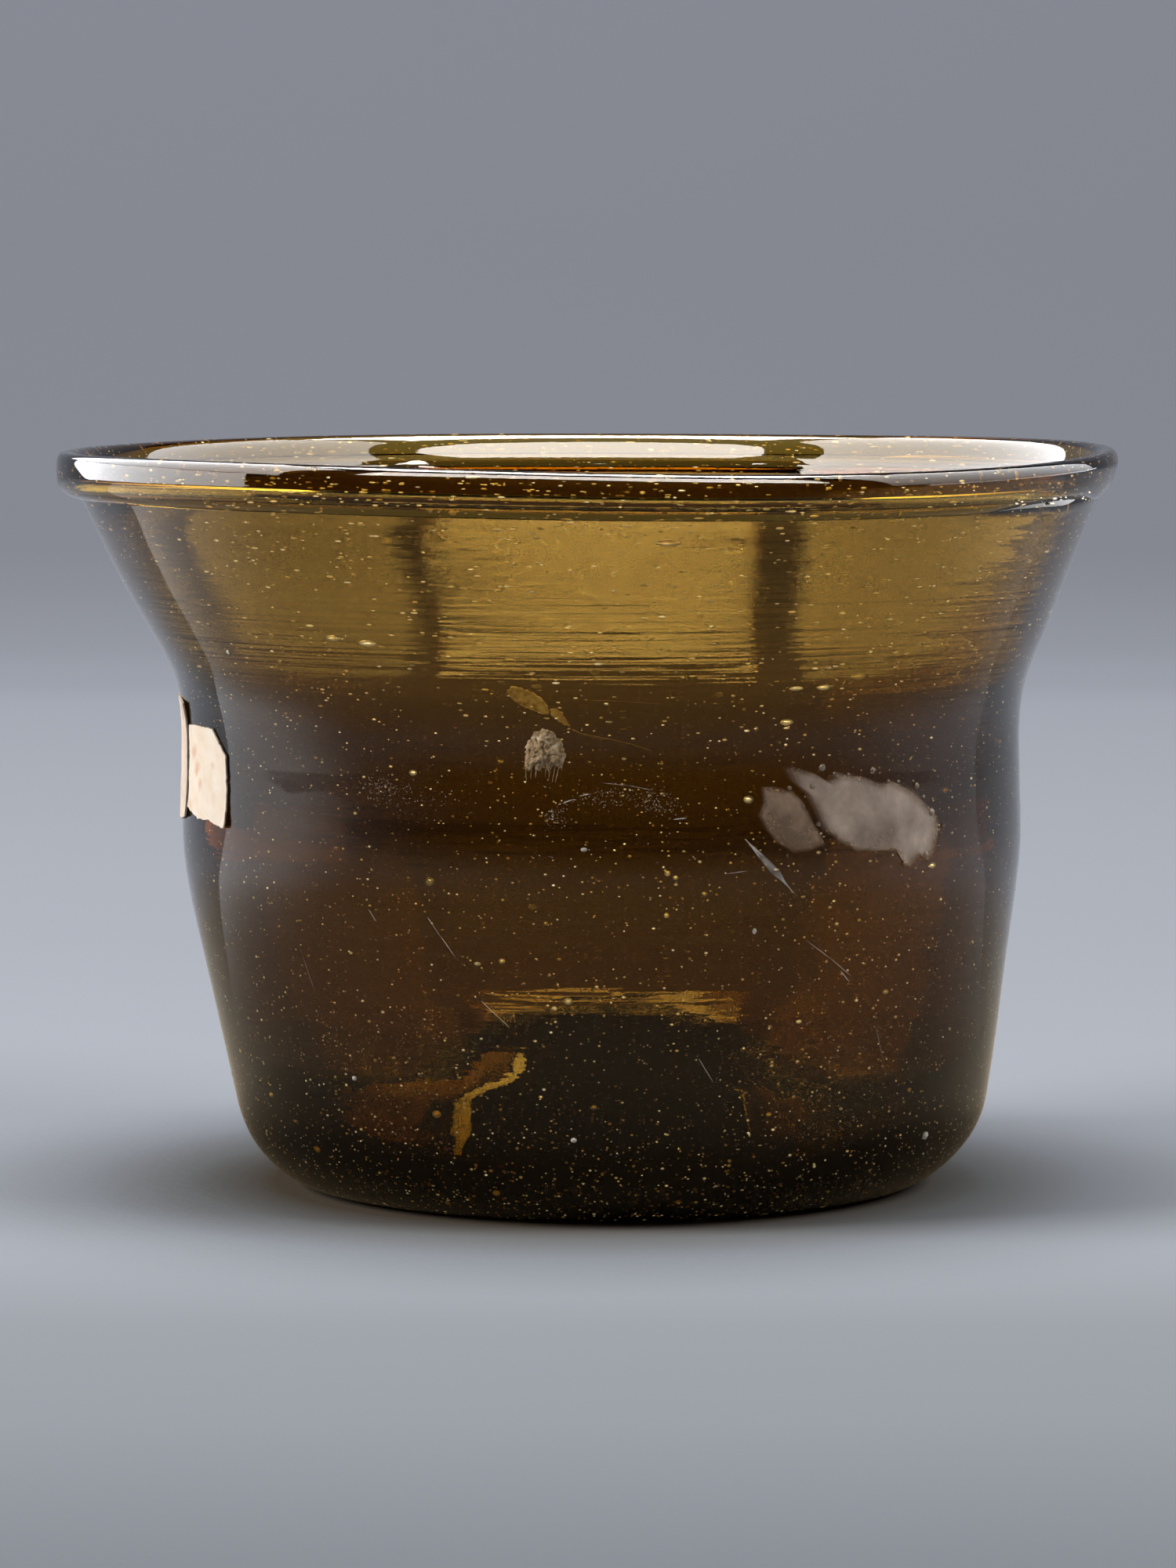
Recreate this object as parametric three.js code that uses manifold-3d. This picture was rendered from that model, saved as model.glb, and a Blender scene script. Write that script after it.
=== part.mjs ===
// A small free-blown glass bowl: pushed-in base, upright body, flared wall and an out-folded rim.
// Millimetres, +Z up, the rim's centre over the origin, the bowl standing on z = 0.
// Azimuth 0 points to -Y, the photographed front, and grows towards +X.
import * as THREE from "three";
import { mergeVertices } from "three/addons/utils/BufferGeometryUtils.js";
import Module from "manifold-3d";

const wasm = await Module();
wasm.setup();

// Overall sizes
const height = 65.6;
const rimDiameter = 95;
const bodyDiameter = 75;
const heelDiameter = 67.2;
const standDiameter = 51.2;
const standWidth = 2.4;

// Levels of the outside
const heelHeight = 7.3;
const shoulderHeight = 42;

// Glass thickness from the rim down to the heel
const flareWall = 1.8;
const waistWall = 2.0;
const bodyWall = 2.5;
const heelWall = 3.0;

// Pushed-in base
const kickHeight = 15.4;
const kickWall = 3.0;
const troughDiameter = 53;
const troughHeight = 4.6;

// Out-folded rim, with the flattened air channel inside it
const foldHeight = 4.6;
const foldWidth = 3.6;
const foldLip = 2.1;
const foldSlant = 1.3;
const slantFreeShare = 0.25;
const slantAzimuth = 85;
const channelWidth = 0.7;
const channelHeight = 1.9;
const channelCover = 1.2;

// Where the fold was not pressed home
const gapAzimuth = 68;
const gapSpan = 29;
const gapDepth = 1.1;
const gapBite = 0.2;
const gapEndShare = 0.3;

// Hand-made unevenness: how far the body leans from under the rim, and the wave of the rim
const lean = 2.2;
const waveTwoCos = -0.13;
const waveTwoSin = -0.22;
const waveThreeSin = -0.17;
const waveStart = 46;

// Broken edge of glass that the working rod left under the base
const scarDiameter = 11;
const scarWidth = 2.0;
const scarDrop = 1.5;

// Paper labels
const paper = 0.25;
const smallWidth = 10.2;
const smallHeight = 8.5;
const smallBottom = 33.4;
const smallAzimuth = -66;
const largeWidth = 15;
const largeHeight = 10.9;
const largeBottom = 33;
const labelGap = 1;

// Dried gum, and the two crusts
const gumWidth = 20.1;
const gumHeight = 8.6;
const gumThickness = 0.35;
const gumLevel = 35.7;
const gumAzimuth = 35;
const lumpWidth = 3.6;
const lumpHeight = 3.8;
const lumpThickness = 0.9;
const lumpEdge = 0.3;
const lumpLevel = 41.4;
const lumpAzimuth = -7.4;
const crustWidth = 5;
const crustHeight = 3;
const crustThickness = 0.6;
const crustEdge = 0.3;
const crustLevel = 45.7;
const crustAzimuth = -8.5;

// Space between things that touch, and how far a cut runs past what it opens
const clearance = 0.3;
const overrun = 0.6;

// Roundness of the turned shapes
const segments = 72;
const curveSteps = 8;
const rings = 4;
const gapSteps = 16;

const rimRadius = rimDiameter / 2;
const bodyRadius = bodyDiameter / 2;
const heelRadius = heelDiameter / 2;
const standRadius = standDiameter / 2;
const troughRadius = troughDiameter / 2;
const foldBottom = height - foldHeight;
const wallTopRadius = rimRadius - foldLip;

// Body from the heel to the shoulder: shares of the rise and of the widening
const bodyShares = [
  [0, 0],
  [0.18, 0.29],
  [0.36, 0.57],
  [0.52, 0.83],
  [0.67, 1],
  [0.84, 0.98],
  [1, 0.97],
];
// Flared wall from the shoulder to the fold
const flareShares = [
  [0.2, 0.08],
  [0.4, 0.32],
  [0.7, 0.67],
  [1, 1],
];
// Rounded heel from the standing ring to the body
const heelShares = [
  [0.24, 0.045],
  [0.45, 0.15],
  [0.72, 0.41],
  [0.905, 0.71],
];
// Fold from the crease out to its fullest: shares of the lip's reach and of the fold's height
const lipShares = [
  [0.55, 0.1],
  [0.94, 0.27],
];
// Fold from its fullest over the top to the inside: shares of its width and height
const crestShares = [
  [1, 0.5],
  [0.97, 0.72],
  [0.82, 0.91],
  [0.5, 1],
  [0.2, 0.96],
  [0, 0.75],
];
// Lean of the axis from the foot up: shares of the height and of the lean
const leanShares = [
  [0, 0.86],
  [0.05, 0.93],
  [0.11, 1],
  [0.21, 0.9],
  [0.34, 0.71],
  [0.45, 0.61],
  [0.66, 0.59],
  [0.74, 0.5],
  [0.82, 0.28],
  [0.92, 0.13],
  [1, 0],
];
// Inside and underside of the pushed-in base, from the middle out
const kickTopShares = [
  [0, 0.985],
  [0.15, 1],
  [0.3, 0.93],
  [0.5, 0.69],
  [0.76, 0.31],
  [0.9, 0.1],
  [1, 0],
];
const kickUnderShares = [
  [0, 1],
  [0.18, 0.98],
  [0.36, 0.87],
  [0.6, 0.57],
  [0.83, 0.23],
  [0.93, 0.08],
  [1, 0],
];

// Straight-line reading of a table of [place, value] pairs that runs upwards
function read(table, place) {
  const last = table.length - 1;
  if (place <= table[0][0]) return table[0][1];
  if (place >= table[last][0]) return table[last][1];
  const i = table.findIndex((row) => row[0] >= place);
  const [lowPlace, lowValue] = table[i - 1];
  const [highPlace, highValue] = table[i];
  return lowValue + ((highValue - lowValue) * (place - lowPlace)) / (highPlace - lowPlace);
}

// The same kind of table with a smooth curve through its pairs
function smoothed(table) {
  const curve = new THREE.SplineCurve(table.map(([place, value]) => new THREE.Vector2(place, value)));
  return curve.getPoints(table.length * curveSteps).map((point) => [point.x, point.y]);
}

// Outside of the wall, smoothed, as [height, radius] pairs from the heel to the fold
const wallStations = [
  ...bodyShares.map(([rise, widen]) => [
    heelHeight + rise * (shoulderHeight - heelHeight),
    heelRadius + widen * (bodyRadius - heelRadius),
  ]),
  ...flareShares.map(([rise, widen]) => [
    shoulderHeight + rise * (foldBottom - shoulderHeight),
    bodyRadius + widen * (wallTopRadius - bodyRadius),
  ]),
];
const wallTable = smoothed(wallStations);
const thicknessTable = [
  [heelHeight, heelWall],
  [(heelHeight + shoulderHeight) / 2, bodyWall],
  [shoulderHeight, waistWall],
  [foldBottom, flareWall],
];
const outerRadius = (z) => read(wallTable, z);
const innerRadius = (z) => outerRadius(z) - read(thicknessTable, z);

// Closed outline of the glass in radius and height: underside, outside, fold, inside
const standInner = standRadius - standWidth;
const kickUnderHeight = kickHeight - kickWall;
const wallLevels = wallStations.map(([z]) => z);
const topInner = rimRadius - foldWidth;
const insideLevels = wallLevels.filter((z) => z > heelHeight).reverse();
const profile = [
  ...kickUnderShares.map(([out, up]) => [out * standInner, up * kickUnderHeight]),
  [standRadius, 0],
  ...heelShares.map(([out, up]) => [standRadius + out * (heelRadius - standRadius), up * heelHeight]),
  ...wallStations.map(([z, r]) => [r, z]),
  ...lipShares.map(([out, up]) => [wallTopRadius + out * foldLip, foldBottom + up * foldHeight]),
  ...crestShares.map(([out, up]) => [topInner + out * foldWidth, foldBottom + up * foldHeight]),
  ...insideLevels.map((z) => [innerRadius(z), z]),
  [innerRadius(heelHeight), heelHeight + heelWall],
  [innerRadius(heelHeight) - heelWall / 2, (troughHeight + heelHeight) / 2],
  ...kickTopShares
    .map(([out, up]) => [out * troughRadius, troughHeight + up * (kickHeight - troughHeight)])
    .reverse(),
].map(([r, z]) => new THREE.Vector2(r, z));

const leanTable = smoothed(leanShares);

// Moves a point of the true round shape to where the hand-made bowl has it
function warp(position) {
  for (let i = 0; i < position.count; i++) {
    const x = position.getX(i);
    const y = position.getY(i);
    const z = position.getZ(i);
    const r = Math.hypot(x, y);
    const azimuth = Math.atan2(x, -y);
    const side = Math.max(0, Math.cos(azimuth - THREE.MathUtils.degToRad(slantAzimuth)));
    const depth = (height - z) / foldHeight;
    const below = THREE.MathUtils.clamp((depth - slantFreeShare) / (1 - slantFreeShare), 0, 1);
    const inFold = r > wallTopRadius && z > foldBottom;
    const reach = inFold ? (r - wallTopRadius) / foldLip : 0;
    const slant = foldSlant * side * side * below * reach;
    const scale = r > 0 ? (r - slant) / r : 1;
    const shift = lean * read(leanTable, z / height);
    const rise = THREE.MathUtils.clamp((z - waveStart) / (height - waveStart), 0, 1);
    const wave = waveTwoCos * Math.cos(2 * azimuth) + waveTwoSin * Math.sin(2 * azimuth)
      + waveThreeSin * Math.sin(3 * azimuth);
    position.setXYZ(i, x * scale + shift, y * scale, z + wave * rise * rise);
  }
  return position;
}

// Closed geometry with shared points, warped, as a solid
function toSolid(geometry) {
  geometry.deleteAttribute("normal");
  geometry.deleteAttribute("uv");
  const merged = mergeVertices(geometry);
  warp(merged.attributes.position);
  return new wasm.Manifold(new wasm.Mesh({
    numProp: 3,
    vertProperties: new Float32Array(merged.attributes.position.array),
    triVerts: new Uint32Array(merged.index.array),
  }));
}

function toGeometry(solid) {
  const mesh = solid.getMesh();
  const geometry = new THREE.BufferGeometry();
  geometry.setAttribute("position", new THREE.BufferAttribute(mesh.vertProperties, 3));
  geometry.setIndex(new THREE.BufferAttribute(mesh.triVerts, 1));
  geometry.computeVertexNormals();
  return geometry;
}

// A lathe turns about Y, so its axis is stood up along Z
function turned(points) {
  const geometry = new THREE.LatheGeometry(points, segments);
  geometry.rotateX(Math.PI / 2);
  return geometry;
}

// Air channel inside the fold, pressed flat, all the way round
const channelOuter = rimRadius - channelCover;
const channelTop = height - (foldHeight - channelHeight) / 2;
const channelBottom = channelTop - channelHeight;
const channelShares = [
  [0.5, 0],
  [1, 0.25],
  [1, 0.75],
  [0.5, 1],
  [0, 0.75],
  [0, 0.25],
  [0.5, 0],
];
const channel = turned(channelShares.map(([out, up]) => new THREE.Vector2(
  channelOuter - channelWidth + out * channelWidth,
  channelBottom + up * channelHeight,
)));

// Crescent gap under the fold: a bar bent round the rim and thinned towards its ends,
// that opens the channel to the outside
function crescent() {
  const bar = new THREE.BoxGeometry(1, 1, 1, gapSteps, 1, 1);
  const place = bar.attributes.position;
  for (let i = 0; i < place.count; i++) {
    const along = 2 * place.getX(i);
    const across = 0.5 - place.getY(i);
    const up = 0.5 + place.getZ(i);
    const swell = gapEndShare + (1 - gapEndShare) * Math.cos((along * Math.PI) / 2);
    const azimuth = THREE.MathUtils.degToRad(gapAzimuth + (along * gapSpan) / 2);
    const r = wallTopRadius - gapBite + across * (gapBite + gapDepth) * swell;
    const low = foldBottom - overrun;
    const z = low + up * (channelBottom + channelHeight / 2 - low) * swell;
    place.setXYZ(i, r * Math.sin(azimuth), -r * Math.cos(azimuth), z);
  }
  return bar;
}

const glass = toSolid(turned(profile))
  .subtract(toSolid(channel))
  .subtract(toSolid(crescent()));

// Ring that hangs from the underside of the pushed-in base and follows it. Each pair is a share
// of the ring's width, from its inside out, and a share of its drop.
const scarShares = [
  [0, 0],
  [0.2, 0.75],
  [0.5, 1],
  [1, 0.4],
  [1, 0],
  [0.5, 0],
  [0, 0],
];
const kickUnder = (r) => read(kickUnderShares, r / standInner) * kickUnderHeight;
const scarProfile = scarShares.map(([out, down]) => {
  const r = scarDiameter / 2 - scarWidth + out * scarWidth;
  return new THREE.Vector2(r, kickUnder(r) - clearance - down * scarDrop);
});
const scar = toSolid(turned(scarProfile));

// Thin closed piece that lies on the wall. The outline is a ring of [across, up] shares about
// the middle, and the thickness falls from the crown to the edge.
function onWall({ outline, width, tall, crown, edge, azimuth, level, inside }) {
  const points = [];
  const faces = [];
  const count = outline.length;
  const facing = inside ? -1 : 1;
  const put = (across, up, depth) => {
    const z = level + up * tall;
    const wall = inside ? innerRadius(z) : outerRadius(z);
    const r = wall + facing * (clearance + depth);
    const turn = THREE.MathUtils.degToRad(azimuth) + (across * width) / wall;
    points.push(r * Math.sin(turn), -r * Math.cos(turn), z);
  };
  for (const layer of [0, 1]) {
    put(0, 0, layer * crown);
    for (let ring = 1; ring <= rings; ring++) {
      const share = ring / rings;
      const depth = edge + (crown - edge) * (1 - share * share);
      for (const [across, up] of outline) put(across * share, up * share, layer * depth);
    }
  }
  const layerSize = 1 + rings * count;
  const at = (layer, ring, i) => layer * layerSize + 1 + (ring - 1) * count + (i % count);
  const tri = (a, b, c) => faces.push(...(inside ? [a, c, b] : [a, b, c]));
  for (let i = 0; i < count; i++) {
    tri(layerSize, at(1, 1, i), at(1, 1, i + 1));
    tri(0, at(0, 1, i + 1), at(0, 1, i));
    for (let ring = 1; ring < rings; ring++) {
      tri(at(1, ring, i), at(1, ring + 1, i), at(1, ring + 1, i + 1));
      tri(at(1, ring, i), at(1, ring + 1, i + 1), at(1, ring, i + 1));
      tri(at(0, ring, i), at(0, ring + 1, i + 1), at(0, ring + 1, i));
      tri(at(0, ring, i), at(0, ring, i + 1), at(0, ring + 1, i + 1));
    }
    tri(at(0, rings, i), at(0, rings, i + 1), at(1, rings, i + 1));
    tri(at(0, rings, i), at(1, rings, i + 1), at(1, rings, i));
  }
  const geometry = new THREE.BufferGeometry();
  geometry.setAttribute("position", new THREE.BufferAttribute(new Float32Array(points), 3));
  geometry.setIndex(faces);
  warp(geometry.attributes.position);
  geometry.computeVertexNormals();
  return geometry;
}

// Outlines, counter-clockwise seen from outside the bowl, as shares of width and height
const smallOutlineShares = [
  [0.5, -0.42], [0.5, -0.1], [0.47, 0.24], [0.34, 0.36], [0.19, 0.5], [0, 0.5],
  [-0.24, 0.5], [-0.44, 0.49], [-0.48, 0.36], [-0.49, 0], [-0.49, -0.24], [-0.5, -0.37],
  [-0.33, -0.42], [-0.16, -0.46], [0, -0.45], [0.12, -0.45], [0.3, -0.48], [0.48, -0.5],
];
const largeOutlineShares = [
  [0.5, -0.45], [0.5, -0.15], [0.5, 0.2], [0.49, 0.47], [0.3, 0.5], [0, 0.5],
  [-0.3, 0.49], [-0.48, 0.47], [-0.5, 0.2], [-0.5, -0.15], [-0.49, -0.46], [-0.25, -0.5],
  [0, -0.49], [0.25, -0.5],
];
const gumOutlineShares = [
  [0.5, -0.13], [0.41, 0.09], [0.33, 0.22], [0.19, 0.35], [0.03, 0.4], [-0.1, 0.44],
  [-0.22, 0.46], [-0.37, 0.5], [-0.36, 0.3], [-0.47, 0.31], [-0.5, 0.02], [-0.43, -0.24],
  [-0.32, -0.38], [-0.24, -0.34], [-0.19, -0.22], [0, -0.41], [0.12, -0.42], [0.22, -0.5],
  [0.33, -0.45], [0.45, -0.36],
];
const lumpOutlineShares = [
  [0.5, 0], [0.44, 0.26], [0.24, 0.44], [-0.02, 0.5], [-0.3, 0.4], [-0.46, 0.2],
  [-0.5, -0.06], [-0.48, -0.46], [-0.3, -0.32], [-0.1, -0.44], [0.02, -0.34], [0.14, -0.5],
  [0.26, -0.32], [0.46, -0.18],
];
const crustOutlineShares = [
  [0.5, -0.5], [0.42, -0.2], [0.28, -0.05], [0.12, 0.1], [0.05, 0.3], [-0.15, 0.42],
  [-0.4, 0.5], [-0.5, 0.4], [-0.42, 0.15], [-0.25, 0], [-0.15, -0.15], [0.05, -0.3],
  [0.25, -0.38],
];

const smallLabel = onWall({
  outline: smallOutlineShares,
  width: smallWidth,
  tall: smallHeight,
  crown: paper,
  edge: paper,
  azimuth: smallAzimuth,
  level: smallBottom + smallHeight / 2,
});
// The large label starts a narrow gap past the small one, further round to the left
const labelTurn = (largeWidth + smallWidth) / 2 + labelGap;
const largeAzimuth = smallAzimuth - THREE.MathUtils.radToDeg(labelTurn / bodyRadius);
const largeLabel = onWall({
  outline: largeOutlineShares,
  width: largeWidth,
  tall: largeHeight,
  crown: paper,
  edge: paper,
  azimuth: largeAzimuth,
  level: largeBottom + largeHeight / 2,
});
const gum = onWall({
  outline: gumOutlineShares,
  width: gumWidth,
  tall: gumHeight,
  crown: gumThickness,
  edge: gumThickness,
  azimuth: gumAzimuth,
  level: gumLevel,
});
const lump = onWall({
  outline: lumpOutlineShares,
  width: lumpWidth,
  tall: lumpHeight,
  crown: lumpThickness,
  edge: lumpEdge,
  azimuth: lumpAzimuth,
  level: lumpLevel,
});
const crust = onWall({
  outline: crustOutlineShares,
  width: crustWidth,
  tall: crustHeight,
  crown: crustThickness,
  edge: crustEdge,
  azimuth: crustAzimuth,
  level: crustLevel,
  inside: true,
});

function piece(name, geometry, color, roughness) {
  const material = new THREE.MeshStandardMaterial({ color, roughness, metalness: 0 });
  const mesh = new THREE.Mesh(geometry, material);
  mesh.name = name;
  return mesh;
}

const group = new THREE.Group();
group.add(
  piece("bowl_glass", toGeometry(glass), 0x5f4720, 0.08),
  piece("pontil_scar", toGeometry(scar), 0x54401c, 0.2),
  piece("label_small", smallLabel, 0xf4e2cc, 0.85),
  piece("label_large", largeLabel, 0xd9c8b8, 0.9),
  piece("gum_patch", gum, 0x8f8072, 0.35),
  piece("crust_lump", lump, 0x8d8578, 0.9),
  piece("crust_patch_inside", crust, 0x9a8455, 0.9),
);

export default group;
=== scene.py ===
# Looks of the small blown glass bowl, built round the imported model.
import bpy
import math
import numpy as np
from mathutils import Matrix, Vector, noise


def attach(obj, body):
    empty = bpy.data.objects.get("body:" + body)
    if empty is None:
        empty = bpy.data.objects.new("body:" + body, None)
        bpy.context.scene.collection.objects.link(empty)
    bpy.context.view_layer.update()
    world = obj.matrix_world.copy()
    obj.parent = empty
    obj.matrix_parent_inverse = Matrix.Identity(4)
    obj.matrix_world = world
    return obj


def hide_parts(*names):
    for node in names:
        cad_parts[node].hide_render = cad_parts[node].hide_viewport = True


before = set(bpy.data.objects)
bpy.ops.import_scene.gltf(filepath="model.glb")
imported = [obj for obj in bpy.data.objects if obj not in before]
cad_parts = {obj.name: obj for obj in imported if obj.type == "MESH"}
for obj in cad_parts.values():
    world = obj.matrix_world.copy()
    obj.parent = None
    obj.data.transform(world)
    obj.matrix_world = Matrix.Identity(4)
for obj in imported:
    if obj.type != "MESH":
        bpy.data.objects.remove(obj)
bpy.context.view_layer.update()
mm = 0.001
scene = bpy.context.scene
print("frame loaded")

# Camera at the photograph's viewing angle
cameraSetup = {"place": (0.0001, -0.6, 0.088), "downwards": 4.984, "lens": 154.24, "sensor": 36,
               "sees": (0.01, 20)}
bpy.ops.object.camera_add(
    location=cameraSetup["place"],
    rotation=(math.radians(90 - cameraSetup["downwards"]), 0, 0),
)
camera = bpy.context.object
camera.data.lens = cameraSetup["lens"]
camera.data.sensor_width = cameraSetup["sensor"]
camera.data.clip_start, camera.data.clip_end = cameraSetup["sees"]
scene.camera = camera


# Helpers for modelling
def startClean():
    # nothing selected and object mode, so that the next operator acts on the new piece alone
    if bpy.context.object and bpy.context.object.mode != "OBJECT":
        bpy.ops.object.mode_set(mode="OBJECT")
    bpy.ops.object.select_all(action="DESELECT")


def editOn():
    bpy.ops.object.mode_set(mode="EDIT")


def editOff():
    bpy.ops.object.mode_set(mode="OBJECT")


def selectAll():
    bpy.ops.mesh.select_all(action="SELECT")


def facesOut():
    selectAll()
    bpy.ops.mesh.normals_make_consistent(inside=False)


def named(name):
    piece = bpy.context.object
    piece.name = name
    piece.data.name = name
    return piece


def settle(piece):
    # the piece's place goes into its mesh
    piece.data.transform(piece.matrix_world)
    piece.matrix_world = Matrix.Identity(4)
    return piece


def applyModifier(piece, kind, **settings):
    bpy.context.view_layer.objects.active = piece
    modifier = piece.modifiers.new(kind.title(), kind)
    for key, value in settings.items():
        setattr(modifier, key, value)
    bpy.ops.object.modifier_apply(modifier=modifier.name)


def points(piece):
    place = np.zeros(len(piece.data.vertices) * 3)
    piece.data.vertices.foreach_get("co", place)
    return place.reshape(-1, 3)


def movePoints(piece, place):
    piece.data.vertices.foreach_set("co", np.asarray(place, float).ravel())
    piece.data.update()


def addShare(piece, name, values):
    # a number for each point, for the material to read
    piece.data.attributes.new(name, "FLOAT", "POINT").data.foreach_set("value", values)


def drawnLine(name, route, scale):
    # a line of points, each extruded from the one before; left in edit mode
    startClean()
    bpy.ops.mesh.primitive_plane_add(size=mm, location=[c * scale for c in route[0]])
    piece = settle(named(name))
    editOn()
    bpy.ops.mesh.merge(type="CENTER")
    for before, after in zip(route, route[1:]):
        step = [(b - a) * scale for a, b in zip(before, after)]
        bpy.ops.mesh.extrude_region_move(TRANSFORM_OT_translate={"value": step})
    selectAll()
    return piece


def rodModel(name, sides, cuts):
    # a rod along y, cut across where it will be shaped
    startClean()
    bpy.ops.mesh.primitive_cylinder_add(vertices=sides, radius=1, depth=2, rotation=(math.pi / 2, 0, 0))
    model = settle(named(name))
    editOn()
    for cut in cuts:
        selectAll()
        bpy.ops.mesh.bisect(plane_co=(0, cut, 0), plane_no=(0, 1, 0))
    editOff()
    return model


def finishPiece(piece, material, replaced=None):
    piece.data.materials.clear()
    piece.data.materials.append(material)
    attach(piece, "root")
    if replaced:
        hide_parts(replaced)


# Helpers for materials
def addNode(tree, kind, inputs=None, **settings):
    made = tree.nodes.new(kind)
    for key, value in settings.items():
        setattr(made, key, value)
    for key, value in (inputs or {}).items():
        if isinstance(value, bpy.types.NodeSocket):
            tree.links.new(value, made.inputs[key])
        else:
            made.inputs[key].default_value = value
    return made


def blankMaterial(name, coordinates="Object"):
    material = bpy.data.materials.new(name)
    material.use_nodes = True
    tree = material.node_tree
    tree.nodes.clear()
    return material, tree, addNode(tree, "ShaderNodeTexCoord").outputs[coordinates]


def surfaced(material, shader):
    addNode(material.node_tree, "ShaderNodeOutputMaterial", {"Surface": shader.outputs[0]})
    return material


def maths(tree, operation, first, second):
    return addNode(tree, "ShaderNodeMath", {0: first, 1: second}, operation=operation).outputs[0]


def remapped(tree, value, fromRange, toRange=(0, 1), **settings):
    return addNode(tree, "ShaderNodeMapRange", {
        "Value": value, "From Min": fromRange[0], "From Max": fromRange[1],
        "To Min": toRange[0], "To Max": toRange[1]}, **settings).outputs[0]


def mixedShader(tree, share, first, second):
    return addNode(tree, "ShaderNodeMixShader", {0: share, 1: first.outputs[0], 2: second.outputs[0]})


def readShare(tree, name):
    return addNode(tree, "ShaderNodeAttribute", attribute_name=name).outputs["Fac"]


def distanceFromMiddle(tree, place):
    return addNode(tree, "ShaderNodeVectorMath", {0: place}, operation="LENGTH").outputs["Value"]


def addRamp(tree, factor, stops):
    ramp = addNode(tree, "ShaderNodeValToRGB", {0: factor})
    while len(ramp.color_ramp.elements) < len(stops):
        ramp.color_ramp.elements.new(0.5)
    for element, (place, colour) in zip(ramp.color_ramp.elements, stops):
        element.position = place
        element.color = (*colour, 1)
    return ramp.outputs[0]


def mixRgb(tree, factor, first, second):
    mix = tree.nodes.new("ShaderNodeMix")
    mix.data_type = "RGBA"
    tree.links.new(factor, mix.inputs[0])
    for socket, value in ((mix.inputs[6], first), (mix.inputs[7], second)):
        if isinstance(value, bpy.types.NodeSocket):
            tree.links.new(value, socket)
        else:
            socket.default_value = (*value, 1)
    return mix.outputs[2]


def fromScreen(red, green, blue):
    # the colour picker's 0 to 255 values as the renderer's linear light
    return tuple(
        c / 12.92 if c <= 0.04045 else ((c + 0.055) / 1.055) ** 2.4
        for c in (red / 255, green / 255, blue / 255)
    )


def surfaceGrain():
    # shared by the matt materials: a soft cloud for the tone, and a fine grain as relief
    group = bpy.data.node_groups.new("surfaceGrain", "ShaderNodeTree")
    for name, kind in (("Vector", "Vector"), ("Cloud Scale", "Float"), ("Cloud Detail", "Float"),
                       ("Grain Scale", "Float"), ("Grain Depth", "Float")):
        group.interface.new_socket(name, in_out="INPUT", socket_type="NodeSocket" + kind)
    group.interface.new_socket("Cloud", in_out="OUTPUT", socket_type="NodeSocketFloat")
    group.interface.new_socket("Normal", in_out="OUTPUT", socket_type="NodeSocketVector")
    given = addNode(group, "NodeGroupInput").outputs
    cloud = addNode(group, "ShaderNodeTexNoise", {
        "Vector": given["Vector"], "Scale": given["Cloud Scale"], "Detail": given["Cloud Detail"],
        "Roughness": 0.6})
    grain = addNode(group, "ShaderNodeTexNoise", {
        "Vector": given["Vector"], "Scale": given["Grain Scale"], "Detail": 3})
    bump = addNode(group, "ShaderNodeBump", {
        "Height": grain.outputs[0], "Distance": given["Grain Depth"], "Strength": 0.7})
    addNode(group, "NodeGroupOutput", {"Cloud": cloud.outputs[0], "Normal": bump.outputs[0]})
    return group


grainGroup = surfaceGrain()


def addGrain(tree, place, cloudScale, cloudDetail, grainScale, grainDepth):
    return addNode(tree, "ShaderNodeGroup", {
        "Vector": place, "Cloud Scale": cloudScale, "Cloud Detail": cloudDetail,
        "Grain Scale": grainScale, "Grain Depth": grainDepth,
    }, node_tree=grainGroup).outputs


# The bowl's shape in millimetres: the CAD source's, with a slimmer fold and a thicker waist
bowl = {
    "height": 65.6, "rimRadius": 47.5, "bodyRadius": 37.5, "heelRadius": 33.6,
    "standRadius": 25.6, "standWidth": 2.4, "heelHeight": 7.3, "shoulderHeight": 42,
    "thickness": [(7.3, 3.0), (24.65, 2.5), (31, 2.45), (36, 2.9), (41, 2.45), (46, 2.0), (61, 2.0)],
    "kickHeight": 15.4, "kickWall": 3.0, "troughRadius": 26.5, "troughHeight": 4.6,
    "foldHeight": 4.1, "foldWidth": 3.6, "foldLip": 2.1, "foldSlant": 1.3,
    "slantFree": 0.25, "slantAzimuth": 85, "lean": 2.2,
    "waves": (-0.13, -0.22, -0.17), "waveStart": 46,
    # the corner inside, over the heel: how far up it starts, how far in it ends, and its level there
    "cornerRise": 3.0, "cornerIn": 1.5, "cornerLevel": 5.95,
    "turns": 144, "levels": 1.5,
}
# shares of the way up and out
bodyShape = [(0, 0), (0.18, 0.29), (0.36, 0.57), (0.52, 0.83), (0.67, 1), (0.84, 0.98), (1, 0.97)]
flareShape = [(0.2, 0.08), (0.4, 0.32), (0.7, 0.67), (1, 1)]
leanShape = [(0, 0.86), (0.05, 0.93), (0.11, 1), (0.21, 0.9), (0.34, 0.71), (0.45, 0.61),
             (0.66, 0.59), (0.74, 0.5), (0.82, 0.28), (0.92, 0.13), (1, 0)]
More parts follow.
